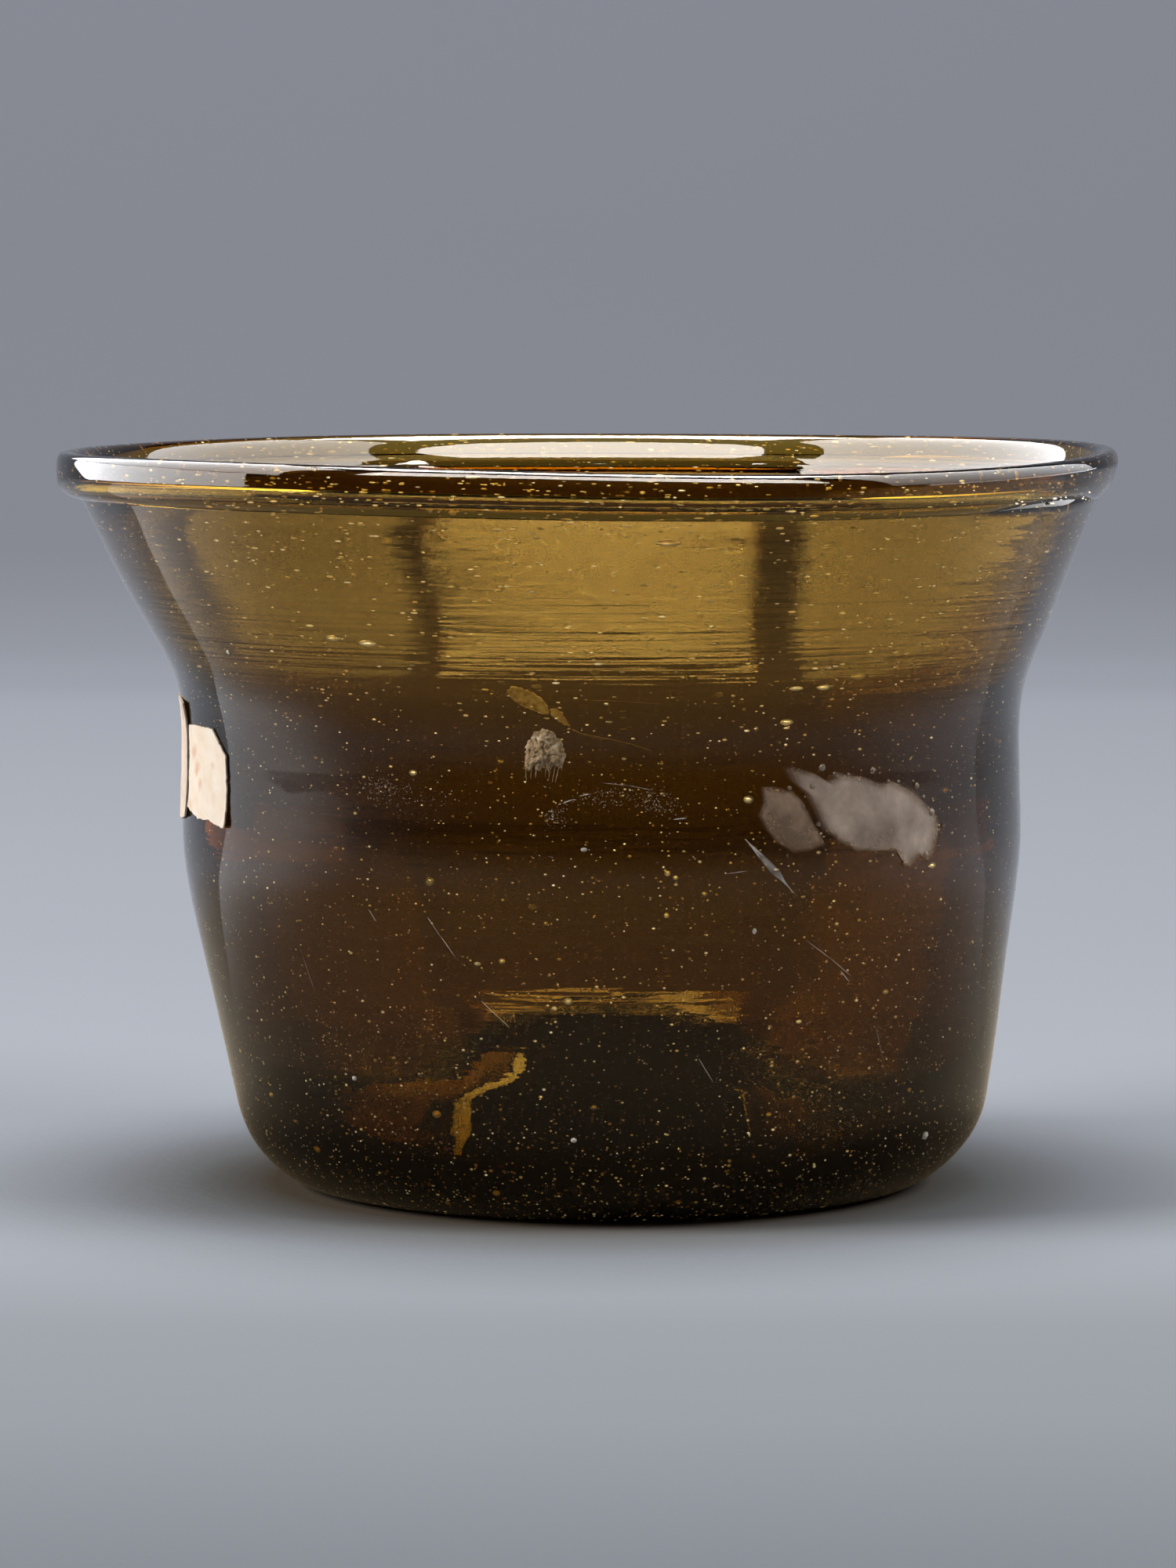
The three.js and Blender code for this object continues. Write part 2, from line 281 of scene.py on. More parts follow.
# shares of the way out and up
heelShape = [(0.24, 0.045), (0.45, 0.15), (0.72, 0.41), (0.905, 0.71)]
lipShape = [(0.2, 0.015), (0.48, 0.05), (0.72, 0.13), (0.87, 0.25), (0.935, 0.39)]
crestShape = [(0.961, 0.52), (0.954, 0.66), (0.938, 0.79), (0.912, 0.88), (0.875, 0.94), (0.83, 0.977),
              (0.775, 0.997), (0.71, 1), (0.62, 0.995), (0.52, 0.97), (0.44, 0.9), (0.36, 0.78),
              (0.26, 0.58), (0.13, 0.32)]
kickTopShape = [(0, 0.985), (0.15, 1), (0.3, 0.93), (0.5, 0.69), (0.76, 0.31), (0.9, 0.1), (1, 0)]
kickUnderShape = [(0, 1), (0.18, 0.98), (0.36, 0.87), (0.6, 0.57), (0.83, 0.23), (0.93, 0.08), (1, 0)]


def smoothed(table, steps=8):
    # a curve through the pairs of the table, read at even steps along it
    table = np.array(table, float)
    found = []
    for i in range(len(table) - 1):
        before, start = table[max(i - 1, 0)], table[i]
        end, after = table[i + 1], table[min(i + 2, len(table) - 1)]
        for k in range(steps):
            t = k / steps
            bend = (end - before) / 2 * t + (2 * before - 5 * start + 4 * end - after) / 2 * t ** 2
            found.append(start + bend + (3 * start - before - 3 * end + after) / 2 * t ** 3)
    found.append(table[-1])
    return np.array(found)


foldBottom = bowl["height"] - bowl["foldHeight"]
wallTop = bowl["rimRadius"] - bowl["foldLip"]
heelReach = bowl["heelRadius"] - bowl["standRadius"]
wallShape = [
    (bowl["heelHeight"] + rise * (bowl["shoulderHeight"] - bowl["heelHeight"]),
     bowl["heelRadius"] + out * (bowl["bodyRadius"] - bowl["heelRadius"]))
    for rise, out in bodyShape
] + [
    (bowl["shoulderHeight"] + rise * (foldBottom - bowl["shoulderHeight"]),
     bowl["bodyRadius"] + out * (wallTop - bowl["bodyRadius"]))
    for rise, out in flareShape
]
wallCurve = smoothed(wallShape)
leanCurve = smoothed(leanShape)
thicknessTable = np.array(bowl["thickness"])
heelCurve = smoothed([(up * bowl["heelHeight"], bowl["standRadius"] + out * heelReach)
                      for out, up in [(0, 0), *heelShape, (1, 1)]])
outsideCurve = np.concatenate([heelCurve[:-1], wallCurve])
kickUnderCurve = smoothed([(out * (bowl["standRadius"] - bowl["standWidth"]),
                            up * (bowl["kickHeight"] - bowl["kickWall"])) for out, up in kickUnderShape], 3)


def outerRadius(level):
    return np.interp(level, outsideCurve[:, 0], outsideCurve[:, 1])


def innerRadius(level):
    return outerRadius(level) - np.interp(level, thicknessTable[:, 0], thicknessTable[:, 1])


def wallSide(inside):
    return innerRadius if inside else outerRadius


def slopeAt(radius, level, reach=0.1):
    return (radius(level + reach) - radius(level - reach)) / (2 * reach)


def warp(place):
    # moves points of the true round shape to where the hand-made bowl has them
    x, y, z = place[:, 0], place[:, 1], place[:, 2]
    r = np.hypot(x, y)
    azimuth = np.arctan2(x, -y)
    side = np.maximum(0, np.cos(azimuth - math.radians(bowl["slantAzimuth"])))
    depth = (bowl["height"] - z) / bowl["foldHeight"]
    below = np.clip((depth - bowl["slantFree"]) / (1 - bowl["slantFree"]), 0, 1)
    inFold = (r > wallTop) & (z > foldBottom)
    reach = np.where(inFold, (r - wallTop) / bowl["foldLip"], 0)
    slant = bowl["foldSlant"] * side ** 2 * below * reach
    scale = np.where(r > 0, (r - slant) / np.maximum(r, 1e-9), 1)
    shift = bowl["lean"] * np.interp(z / bowl["height"], leanCurve[:, 0], leanCurve[:, 1])
    rise = np.clip((z - bowl["waveStart"]) / (bowl["height"] - bowl["waveStart"]), 0, 1)
    twoCos, twoSin, threeSin = bowl["waves"]
    wave = (twoCos * np.cos(2 * azimuth) + twoSin * np.sin(2 * azimuth)
            + threeSin * np.sin(3 * azimuth))
    return np.stack([x * scale + shift, y * scale, z + wave * rise ** 2], axis=1)


# The glass skin: outline drawn point by point, then spun
# Crease under the fold. It opens into a crescent where the fold was not pressed home.
crease = {
    "slot": [(0.03, 0.12), (0.09, 0.13), (0.12, 0.0)],
    "azimuth": 62, "span": 27, "deep": 0.9, "wide": 0.55, "bead": 0.42, "lift": 0.85,
    # where its parts lie, out from the wall's top edge and up from it
    "edgeWithin": 0.01, "ceiling": 0.125, "ceilingWithin": 0.03, "slotEnd": 0.15,
    "lipSide": (0.06, -0.05, 0.2), "lipFrom": 0.1, "lipTop": 0.33, "liftFrom": 0.5, "liftOver": 2.4,
}
# Air channel inside the fold: place of its outer side, and its pressed shape
channel = {
    "outer": 46.4, "bottom": 62.55, "wide": 0.7, "tall": 1.05,
    "shape": [(0.5, 0), (0.9, 0.1), (1, 0.3), (1, 0.7), (0.9, 0.9), (0.5, 1),
              (0.1, 0.9), (0, 0.7), (0, 0.3), (0.1, 0.1), (0.5, 0)],
}


def bowlOutline():
    heel = [(bowl["standRadius"] + out * heelReach, up * bowl["heelHeight"])
            for out, up in [(0, 0)] + heelShape]
    heel = smoothed(heel + [(bowl["heelRadius"], bowl["heelHeight"])], 2)
    levels = np.arange(bowl["heelHeight"] + bowl["levels"], foldBottom - 0.4, bowl["levels"])
    outside = [(outerRadius(z), z) for z in [*levels, foldBottom - 0.5, foldBottom]]
    lip = [(wallTop + out, foldBottom + up) for out, up in crease["slot"]]
    lip += [(wallTop + out * bowl["foldLip"], foldBottom + up * bowl["foldHeight"])
            for out, up in lipShape]
    topInner = bowl["rimRadius"] - bowl["foldWidth"]
    crest = [(topInner + out * bowl["foldWidth"], foldBottom + up * bowl["foldHeight"])
             for out, up in crestShape]
    cornerTop = bowl["heelHeight"] + bowl["cornerRise"]
    floorEdge = innerRadius(bowl["heelHeight"])
    inside = [(innerRadius(z), z) for z in reversed([*levels, foldBottom]) if z > cornerTop + 0.4]
    corner = [(floorEdge, cornerTop), (floorEdge - bowl["cornerIn"], bowl["cornerLevel"])]
    top = smoothed([(out * bowl["troughRadius"],
                     bowl["troughHeight"] + up * (bowl["kickHeight"] - bowl["troughHeight"]))
                    for out, up in kickTopShape], 3)
    drawn = [*kickUnderCurve, *heel, *outside, *lip, *crest, *inside, *corner, *top[::-1]]
    return [(float(r), float(z)) for r, z in drawn]


def spunPiece(name, outline, turns, closed):
    piece = drawnLine(name, [(0, -r, z) for r, z in outline], mm)
    if closed:
        bpy.ops.mesh.remove_doubles(threshold=0.005 * mm)
    bpy.ops.mesh.spin(steps=turns, angle=2 * math.pi, center=(0, 0, 0), axis=(0, 0, 1))
    selectAll()
    bpy.ops.mesh.remove_doubles(threshold=0.002 * mm)
    bpy.ops.mesh.normals_make_consistent(inside=False)
    editOff()
    return piece


def openCrease(place):
    # place in millimetres; along the crescent the lip lifts off the wall, whose edge stands out as a bead
    r = np.hypot(place[:, 0], place[:, 1])
    out, up = r - wallTop, place[:, 2] - foldBottom
    turn = np.degrees(np.arctan2(place[:, 0], -place[:, 1]))
    share = np.clip(np.abs(turn - crease["azimuth"]) / (crease["span"] / 2), 0, 1)
    swell = np.cos(share * math.pi / 2) ** 0.7
    sideFrom, low, sideTop = crease["lipSide"]
    inSlot = (out > 0) & (out < crease["slotEnd"])
    edge = (np.abs(up) < crease["edgeWithin"]) & (np.abs(out) < crease["edgeWithin"])
    ceiling = (np.abs(up - crease["ceiling"]) < crease["ceilingWithin"]) & inSlot
    lipSide = (out > sideFrom) & inSlot & (up > low) & (up < sideTop)
    lip = (out > crease["lipFrom"]) & (up > low) & (up < crease["lipTop"] * bowl["foldHeight"]) & ~ceiling
    pushed = np.where(lipSide, crease["wide"], 0) + np.where(edge, crease["bead"], 0)
    place[:, :2] *= ((r + pushed * swell) / np.maximum(r, 1e-9))[:, None]
    lift = crease["lift"] * np.clip(1 - (out - crease["liftFrom"]) / crease["liftOver"], 0, 1)
    place[:, 2] += (np.where(ceiling, crease["deep"], 0) + np.where(lip, lift, 0)) * swell
    return place


# Marks of the turning tool on the inside: how fine across and up, how deep, and the levels they lie at
toolMarks = {
    "everywhere": {"scale": (110, 110, 260), "deep": 0.00002, "detail": 1},
    "kick": {"scale": (110, 110, 110), "deep": 0.0005, "detail": 1},
    "steps": {"scale": (70, 70, 800), "deep": 0.00007, "detail": 2},
    "lines": {"scale": (18, 18, 2300), "deep": 0.00007, "detail": 2, "from": 0.0475, "to": 0.0545},
    # in millimetres: how deep in the wall the inside starts, and its levels
    "insideDepth": 0.9, "insideAbove": 9, "kickTop": 19, "kickFade": 8,
}
bowlGlass = spunPiece("bowlGlass", bowlOutline(), bowl["turns"], closed=False)
movePoints(bowlGlass, openCrease(points(bowlGlass) / mm) * mm)
channelOutline = [
    (channel["outer"] - channel["wide"] * (1 - out), channel["bottom"] + up * channel["tall"])
    for out, up in channel["shape"]
]
airChannel = spunPiece("airChannel", channelOutline, bowl["turns"], closed=True)
editOn()
selectAll()
bpy.ops.mesh.flip_normals()
editOff()
startClean()
airChannel.select_set(True)
bowlGlass.select_set(True)
bpy.context.view_layer.objects.active = bowlGlass
bpy.ops.object.join()
applyModifier(bowlGlass, "SUBSURF", levels=1, render_levels=1)
place = points(bowlGlass) / mm
inner = np.hypot(place[:, 0], place[:, 1]) < outerRadius(place[:, 2]) - toolMarks["insideDepth"]
kickShare = np.clip((toolMarks["kickTop"] - place[:, 2]) / toolMarks["kickFade"], 0, 1) * inner
movePoints(bowlGlass, warp(place) * mm)
bpy.ops.object.shade_smooth()
addShare(bowlGlass, "toolSide", (inner & (place[:, 2] > toolMarks["insideAbove"])).astype(float))
addShare(bowlGlass, "kickShare", kickShare)
print("bowl spun:", len(bowlGlass.data.vertices), "points")

# Glass
glassLook = {"ior": 1.5, "roughness": 0.03, "density": 2000, "colour": (0.75, 0.645, 0.25),
             "gloss": (0.9, 0.8, 0.66), "bandFade": (0.002, 0.004)}


def stretchedNoise(tree, place, scale, detail):
    drawn = addNode(tree, "ShaderNodeMapping", {"Vector": place, "Scale": scale})
    return addNode(tree, "ShaderNodeTexNoise", {
        "Vector": drawn.outputs[0], "Scale": 1, "Detail": detail}).outputs[0]


def amberGlass(name):
    material, tree, place = blankMaterial(name)
    inside = readShare(tree, "toolSide")
    level = addNode(tree, "ShaderNodeSeparateXYZ", {"Vector": place}).outputs["Z"]
    low, high = toolMarks["lines"]["from"], toolMarks["lines"]["to"]
    fadeLow, fadeHigh = glassLook["bandFade"]
    band = maths(tree, "MULTIPLY", remapped(tree, level, (low - fadeLow, low + fadeLow)),
                 remapped(tree, level, (high + fadeHigh, high)))
    masks = {"kick": readShare(tree, "kickShare"), "steps": inside,
             "lines": maths(tree, "MULTIPLY", band, inside)}
    relief = {}
    for kind in ("everywhere", "kick", "steps", "lines"):
        mark = toolMarks[kind]
        height = stretchedNoise(tree, place, mark["scale"], mark["detail"])
        if kind in masks:
            height = maths(tree, "MULTIPLY", height, masks[kind])
        bump = addNode(tree, "ShaderNodeBump", {
            "Height": height, "Distance": mark["deep"], "Strength": 1, **relief})
        relief = {"Normal": bump.outputs[0]}
    shader = addNode(tree, "ShaderNodeBsdfPrincipled", {
        "Base Color": (1, 1, 1, 1), "Roughness": glassLook["roughness"], "IOR": glassLook["ior"],
        "Transmission Weight": 1, "Specular Tint": (*glassLook["gloss"], 1), **relief})
    absorb = addNode(tree, "ShaderNodeVolumeAbsorption", {
        "Color": (*glassLook["colour"], 1), "Density": glassLook["density"]})
    addNode(tree, "ShaderNodeOutputMaterial", {"Surface": shader.outputs[0], "Volume": absorb.outputs[0]})
    return material


bowlMaterial = amberGlass("amberGlass")
finishPiece(bowlGlass, bowlMaterial, "bowl_glass")


# Pieces that lie on the wall
def onWall(azimuth, level, off, inside=False):
    # a place on the true round shape, off the wall along its slope's normal
    radius = wallSide(inside)
    slope = slopeAt(radius, level)
    length = np.sqrt(1 + slope ** 2)
    facing = -1 if inside else 1
    r = radius(level) + facing * off / length
    z = level - facing * off * slope / length
    turn = np.radians(azimuth)
    return np.stack([r * np.sin(turn), -r * np.cos(turn), z], axis=1)


def layOnWall(piece, azimuth, level, inside=False):
    # a piece modelled flat in millimetres (x along the wall, y up, z off it) is bent onto the wall
    place = points(piece)
    height = level + place[:, 1]
    turn = azimuth + np.degrees(place[:, 0] / wallSide(inside)(height))
    movePoints(piece, warp(onWall(turn, height, place[:, 2], inside)) * mm)
    startClean()
    piece.select_set(True)
    bpy.context.view_layer.objects.active = piece
    editOn()
    facesOut()
    editOff()
    bpy.ops.object.shade_smooth_by_angle(angle=math.radians(50))


def flatSheet(name, corners, rings, spacing):
    # closed sheet: rings of points shrunk from the outline to the middle, its top at z = 1
    edge = []
    for start, end in zip(corners, corners[1:] + corners[:1]):
        start, end = np.array(start, float), np.array(end, float)
        steps = max(1, round(float(np.linalg.norm(end - start)) / spacing))
        edge += [start + (end - start) * k / steps for k in range(steps)]
    edge = np.array(edge)
    count = len(edge)
    startClean()
    bpy.ops.mesh.primitive_circle_add(vertices=count, radius=1, fill_type="NOTHING")
    piece = named(name)
    editOn()
    selectAll()
    for ring in range(rings, 1, -1):
        share = (ring - 1) / ring
        bpy.ops.mesh.extrude_region_move()
        bpy.ops.transform.resize(value=(share, share, 1), center_override=(0, 0, 0))
    bpy.ops.mesh.extrude_region_move()
    bpy.ops.mesh.merge(type="CENTER")
    facesOut()
    editOff()
    applyModifier(piece, "SOLIDIFY", thickness=1, offset=1)
    place = points(piece)
    share = np.hypot(place[:, 0], place[:, 1])
    turn = np.arctan2(place[:, 1], place[:, 0])
    first, second = (math.atan2(v.co.y, v.co.x) for v in piece.data.vertices[:2])
    order = -1 if (second - first) % (2 * math.pi) > math.pi else 1
    index = np.round((turn - first) * order / (2 * math.pi / count)).astype(int) % count
    flat = edge[index] * share[:, None]
    top = np.abs(place[:, 2]) > 0.5
    return piece, flat, share, top


def outlineOnWall(pairs, azimuth, level, inside=False):
    # azimuth and level pairs as millimetres about the piece's middle
    return [(math.radians(a - azimuth) * float(wallSide(inside)(z)), z - level) for a, z in pairs]


def roughNoise(flat, size, seed):
    return np.array([noise.noise(Vector((x * size, y * size, seed))) for x, y in flat])


def pushedOut(flat, amount, least=0.5):
    # flat points moved out from the middle by an amount in millimetres
    return flat * (1 + (amount / np.maximum(np.hypot(flat[:, 0], flat[:, 1]), least)))[:, None]


def addFlatMap(piece, flat, width, tall):
    # the flat shape as a UV map, for patterns that follow the piece
    layer = piece.data.uv_layers.active or piece.data.uv_layers.new(name="flat")
    corner = np.zeros(len(piece.data.loops), int)
    piece.data.loops.foreach_get("vertex_index", corner)
    uv = np.stack([flat[:, 0] / width + 0.5, flat[:, 1] / tall + 0.5], axis=1)[corner]
    layer.data.foreach_set("uv", uv.ravel())


def wallAxes(turn, slope):
    # directions along the wall, up it and off it
    out = np.stack([np.sin(turn), -np.cos(turn), 0 * turn], axis=1)
    along = np.stack([np.cos(turn), np.sin(turn), 0 * turn], axis=1)
    rise = np.array([0, 0, 1])
    length = np.sqrt(1 + slope ** 2)[:, None]
    return along, (out * slope[:, None] + rise) / length, (out - rise * slope[:, None]) / length


def framesOf(axes, size, place):
    return np.stack([*(axis * size[:, k:k + 1] for k, axis in enumerate(axes)), place], axis=2) * mm


def wallFrames(spots, sink, turned=None, inside=False):
    # azimuth, level and size of each spot as frames that stand on the wall
    spots = np.array(spots, float)
    azimuth, level, size = spots[:, 0], spots[:, 1], spots[:, 2:]
    if size.shape[1] == 1:
        size = np.repeat(size, 3, axis=1)
    along, up, off = wallAxes(np.radians(azimuth), slopeAt(wallSide(inside), level))
    if inside:
        off = -off
    if turned is not None:
        c, s = np.cos(turned)[:, None], np.sin(turned)[:, None]
        along, up = along * c + up * s, up * c - along * s
    return framesOf((along, up, off), size, warp(onWall(azimuth, level, sink * size[:, 2], inside)))


def copiesOf(model, frames, name):
    # many copies of one modelled shape, each with its own faces, as one piece; frames are 3 by 4
    base = points(model)
    faces = [tuple(face.vertices) for face in model.data.polygons]
    spread = np.einsum("nij,kj->nki", frames[:, :, :3], base) + frames[:, None, :, 3]
    count = len(base)
    allFaces = [tuple(v + i * count for v in face) for i in range(len(frames)) for face in faces]
    mesh = bpy.data.meshes.new(name)
    mesh.from_pydata(spread.reshape(-1, 3).tolist(), [], allFaces)
    mesh.polygons.foreach_set("use_smooth", [True] * len(mesh.polygons))
    piece = bpy.data.objects.new(name, mesh)
    scene.collection.objects.link(piece)
    return piece


def removeModels(*models):
    for model in models:
        bpy.data.objects.remove(model)


# Paper labels, left bare; the foxed spots are given as across, up, reach and strength
paperSheets = {
    "labelSmall": {
        "azimuth": -68, "level": 37.65, "width": 10.2, "tall": 8.5, "thick": 0.14, "torn": 0.16,
        "slot": "cream_paper", "replaces": "label_small", "seed": 3.1,
        "outline": [(0.5, -0.42), (0.5, -0.1), (0.47, 0.24), (0.34, 0.36), (0.19, 0.5), (0, 0.5),
                    (-0.24, 0.5), (-0.44, 0.49), (-0.48, 0.36), (-0.49, 0), (-0.49, -0.24),
                    (-0.5, -0.37), (-0.33, -0.42), (-0.16, -0.46), (0, -0.45), (0.12, -0.45),
                    (0.3, -0.48), (0.48, -0.5)],
        "clean": (252, 236, 216), "aged": (242, 218, 190), "foxing": (212, 150, 96),
        "spots": [(0.2, 0.72, 0.1, 0.75), (0.3, 0.55, 0.1, 0.8), (0.4, 0.4, 0.08, 0.6),
                  (0.7, 0.62, 0.05, 0.5), (0.75, 0.3, 0.06, 0.35), (0.1, 0.15, 0.12, 0.35)],
    },
    "labelLarge": {
        "azimuth": -88.6, "level": 38.45, "width": 15, "tall": 10.9, "thick": 0.16, "torn": 0.12,
        "slot": "old_paper", "replaces": "label_large", "seed": 8.4,
        "outline": [(0.5, -0.45), (0.5, -0.15), (0.5, 0.2), (0.49, 0.47), (0.3, 0.5), (0, 0.5),
                    (-0.3, 0.49), (-0.48, 0.47), (-0.5, 0.2), (-0.5, -0.15), (-0.49, -0.46),
                    (-0.25, -0.5), (0, -0.49), (0.25, -0.5)],
        "clean": (236, 217, 196), "aged": (208, 183, 159), "foxing": (150, 112, 82),
        "spots": [(0.15, 0.8, 0.14, 0.6), (0.6, 0.3, 0.16, 0.5), (0.85, 0.9, 0.12, 0.7)],
    },
}
paperShape = {"rings": 9, "spacing": 0.35, "fibres": 2.2, "cockle": 0.05, "cockleSize": 0.45,
              "cornerLift": 0.22}


def agedPaper(name, sheet):
    material, tree, flat = blankMaterial(name, "UV")
    grain = addGrain(tree, flat, 3.5, 5, 60, 0.00006)
    tone = addRamp(tree, grain["Cloud"], [
        (0.35, fromScreen(*sheet["clean"])), (0.7, fromScreen(*sheet["aged"]))])
    for across, up, reach, strength in sheet["spots"]:
        away = addNode(tree, "ShaderNodeVectorMath", {0: flat, 1: (across, up, 0)}, operation="DISTANCE")
        wobble = addNode(tree, "ShaderNodeTexNoise", {"Vector": flat, "Scale": 11, "Detail": 3})
        shaken = maths(tree, "MULTIPLY", wobble.outputs[0], reach * 1.6)
        total = maths(tree, "ADD", away.outputs["Value"], shaken)
        mask = remapped(tree, total, (reach * 1.9, reach * 0.7), (0, strength))
        tone = mixRgb(tree, mask, tone, fromScreen(*sheet["foxing"]))
    return surfaced(material, addNode(tree, "ShaderNodeBsdfPrincipled", {
        "Base Color": tone, "Roughness": 0.85, "Normal": grain["Normal"]}))


for name, sheet in paperSheets.items():
    corners = [(x * sheet["width"], y * sheet["tall"]) for x, y in sheet["outline"]]
    piece, flat, share, top = flatSheet(name, corners, paperShape["rings"], paperShape["spacing"])
    # torn fibres at the edge, a soft cockle, and corners that lift a little
    torn = roughNoise(flat, paperShape["fibres"], sheet["seed"]) * sheet["torn"]
    flat = pushedOut(flat, torn * share ** 8)
    cockle = paperShape["cockle"] * (1 + roughNoise(flat, paperShape["cockleSize"], sheet["seed"] + 5))
    corner = np.abs(flat[:, 0] / sheet["width"] * 2) ** 5 * np.abs(flat[:, 1] / sheet["tall"] * 2) ** 3
    off = cockle + paperShape["cornerLift"] * corner + np.where(top, sheet["thick"], 0)
    movePoints(piece, np.column_stack([flat, off]))
    addFlatMap(piece, flat, sheet["width"], sheet["tall"])
    layOnWall(piece, sheet["azimuth"], sheet["level"])
    finishPiece(piece, agedPaper(name + "Paper", sheet), sheet["replaces"])
print("labels laid")

# Dried gum: two lobes of thin film with a raised bead round them, thinning out at the rim
gumFilm = {
    "azimuth": 36.5, "level": 35.6, "thick": 0.1, "under": 0.02, "least": 0.05,
    "bead": 0.04, "beadPlace": 0.93, "beadWidth": 0.05, "rings": 14, "spacing": 0.3,
    "lumps": 0.05, "lumpSize": 0.5, "ragged": 0.12, "raggedSize": 1.6, "seed": 12.7,
    "mainLobe": [(24.0, 40.2), (26.4, 39.9), (28.6, 39.5), (30.2, 38.9), (32.2, 39.5), (36.4, 39.0),
                 (39.6, 38.3), (41.2, 38.5), (45.6, 37.4), (48.6, 35.9), (50.4, 34.9), (51.2, 33.6),
                 (49.9, 31.9), (48.6, 31.0), (47.4, 31.7), (46.2, 31.4), (45.0, 30.6), (43.9, 30.9),
                 (43.4, 31.9), (42.0, 32.3), (38.6, 32.3), (35.2, 32.5),
                 (32.4, 33.4), (29.9, 34.6), (28.6, 36.1), (27.2, 37.8), (25.0, 38.9)],
    "leftLobe": [(20.9, 38.6), (22.8, 38.4), (25.2, 38.2), (26.9, 37.1), (28.3, 35.6), (29.6, 34.2),
                 (30.3, 33.3), (28.4, 32.8), (25.6, 32.6), (23.2, 33.5), (21.4, 34.9), (20.4, 36.1),
                 (21.1, 37.3)],
    # azimuth, level and half width of each drop
    "drops": [(29.8, 39.9, 0.34), (38.0, 39.4, 0.3), (46.0, 37.8, 0.28), (48.9, 35.4, 0.34),
              (47.6, 31.8, 0.3), (43.6, 31.2, 0.26), (28.4, 38.4, 0.3), (31.8, 39.3, 0.2),
              (25.0, 38.3, 0.2), (26.9, 36.7, 0.2), (29.2, 35.1, 0.22), (51.6, 34.1, 0.2),
              (49.4, 33.0, 0.16), (34.0, 39.2, 0.16), (42.6, 38.3, 0.15), (40.8, 38.4, 0.14),
              (45.0, 31.6, 0.17), (29.6, 34.3, 0.15), (24.6, 32.6, 0.14), (47.4, 36.8, 0.17)],
    # screen colour and cover of each film, and the dark line and thinning towards its rim
    "main": ((196, 174, 154), 0.68), "left": ((174, 147, 121), 0.64), "drop": ((160, 144, 124), 0.5),
    "uneven": 0.22, "line": 0.9, "lineShare": 0.75, "lineColour": (60, 40, 24),
    "softFrom": 0.76, "softLeft": 0.16,
}


def driedGum(name, colour, film):
    material, tree, place = blankMaterial(name)
    tint = fromScreen(*colour)
    grain = addGrain(tree, place, 170, 4, 2600, 0.00003)
    tone = addRamp(tree, grain["Cloud"], [(0.35, tuple(c * 0.6 for c in tint)), (0.65, tint)])
    share = readShare(tree, "rimShare")
    line = remapped(tree, share, (gumFilm["line"], 1), (0, gumFilm["lineShare"]))
    shader = addNode(tree, "ShaderNodeBsdfPrincipled", {
        "Base Color": mixRgb(tree, line, tone, fromScreen(*gumFilm["lineColour"])),
        "Roughness": 0.42, "IOR": 1.45, "Normal": grain["Normal"]})
    clear = addNode(tree, "ShaderNodeBsdfTransparent", {"Color": (1, 0.93, 0.82, 1)})
    cover = (film - gumFilm["uneven"], film + gumFilm["uneven"])
    thick = remapped(tree, grain["Cloud"], (0.35, 0.65), cover)
    thinned = remapped(tree, share, (gumFilm["softFrom"], 1), (1, gumFilm["softLeft"]),
                       interpolation_type="SMOOTHSTEP")
    return surfaced(material, mixedShader(tree, maths(tree, "MULTIPLY", thick, thinned), clear, shader))


for name, lobe, look, replaced in (
    ("gumPatch", "mainLobe", driedGum("gumFilm", *gumFilm["main"]), "gum_patch"),
    ("gumPatchLeft", "leftLobe", driedGum("gumFilmThin", *gumFilm["left"]), None),
):
    corners = outlineOnWall(gumFilm[lobe], gumFilm["azimuth"], gumFilm["level"])
    middle = np.mean(corners, axis=0)
    corners = [tuple(np.array(c) - middle) for c in corners]
    piece, flat, share, top = flatSheet(name, corners, gumFilm["rings"], gumFilm["spacing"])
    ragged = roughNoise(flat + middle, gumFilm["raggedSize"], gumFilm["seed"]) * gumFilm["ragged"]
    flat = pushedOut(flat, ragged * share ** 4)
    bead = gumFilm["bead"] * np.exp(-(((share - gumFilm["beadPlace"]) / gumFilm["beadWidth"]) ** 2))
    lumpy = gumFilm["lumps"] * roughNoise(flat + middle, gumFilm["lumpSize"], gumFilm["seed"] + 3)
    off = (gumFilm["thick"] + bead + lumpy) * np.where(share > 0.99, 0.35, 1)
    off = np.where(top, np.maximum(off, gumFilm["least"]), gumFilm["under"])
    movePoints(piece, np.column_stack([flat + middle, off]))
    layOnWall(piece, gumFilm["azimuth"], gumFilm["level"])
    addShare(piece, "rimShare", share)
    finishPiece(piece, look, replaced)

# drops round the film: half domes with a flattened foot
startClean()
bpy.ops.mesh.primitive_uv_sphere_add(segments=12, ring_count=8, radius=1)
gumDropModel = named("gumDropModel")
editOn()
selectAll()
bpy.ops.mesh.bisect(plane_co=(0, 0, -0.25), plane_no=(0, 0, 1), clear_inner=True, use_fill=True)
selectAll()
bpy.ops.transform.resize(value=(1, 1, 0.72), center_override=(0, 0, 0))
bpy.ops.mesh.normals_make_consistent(inside=False)
editOff()
gumDrops = copiesOf(gumDropModel, wallFrames(gumFilm["drops"], 0.3), "gumDrops")
removeModels(gumDropModel)
finishPiece(gumDrops, driedGum("gumDropLook", *gumFilm["drop"]))
print("gum laid")

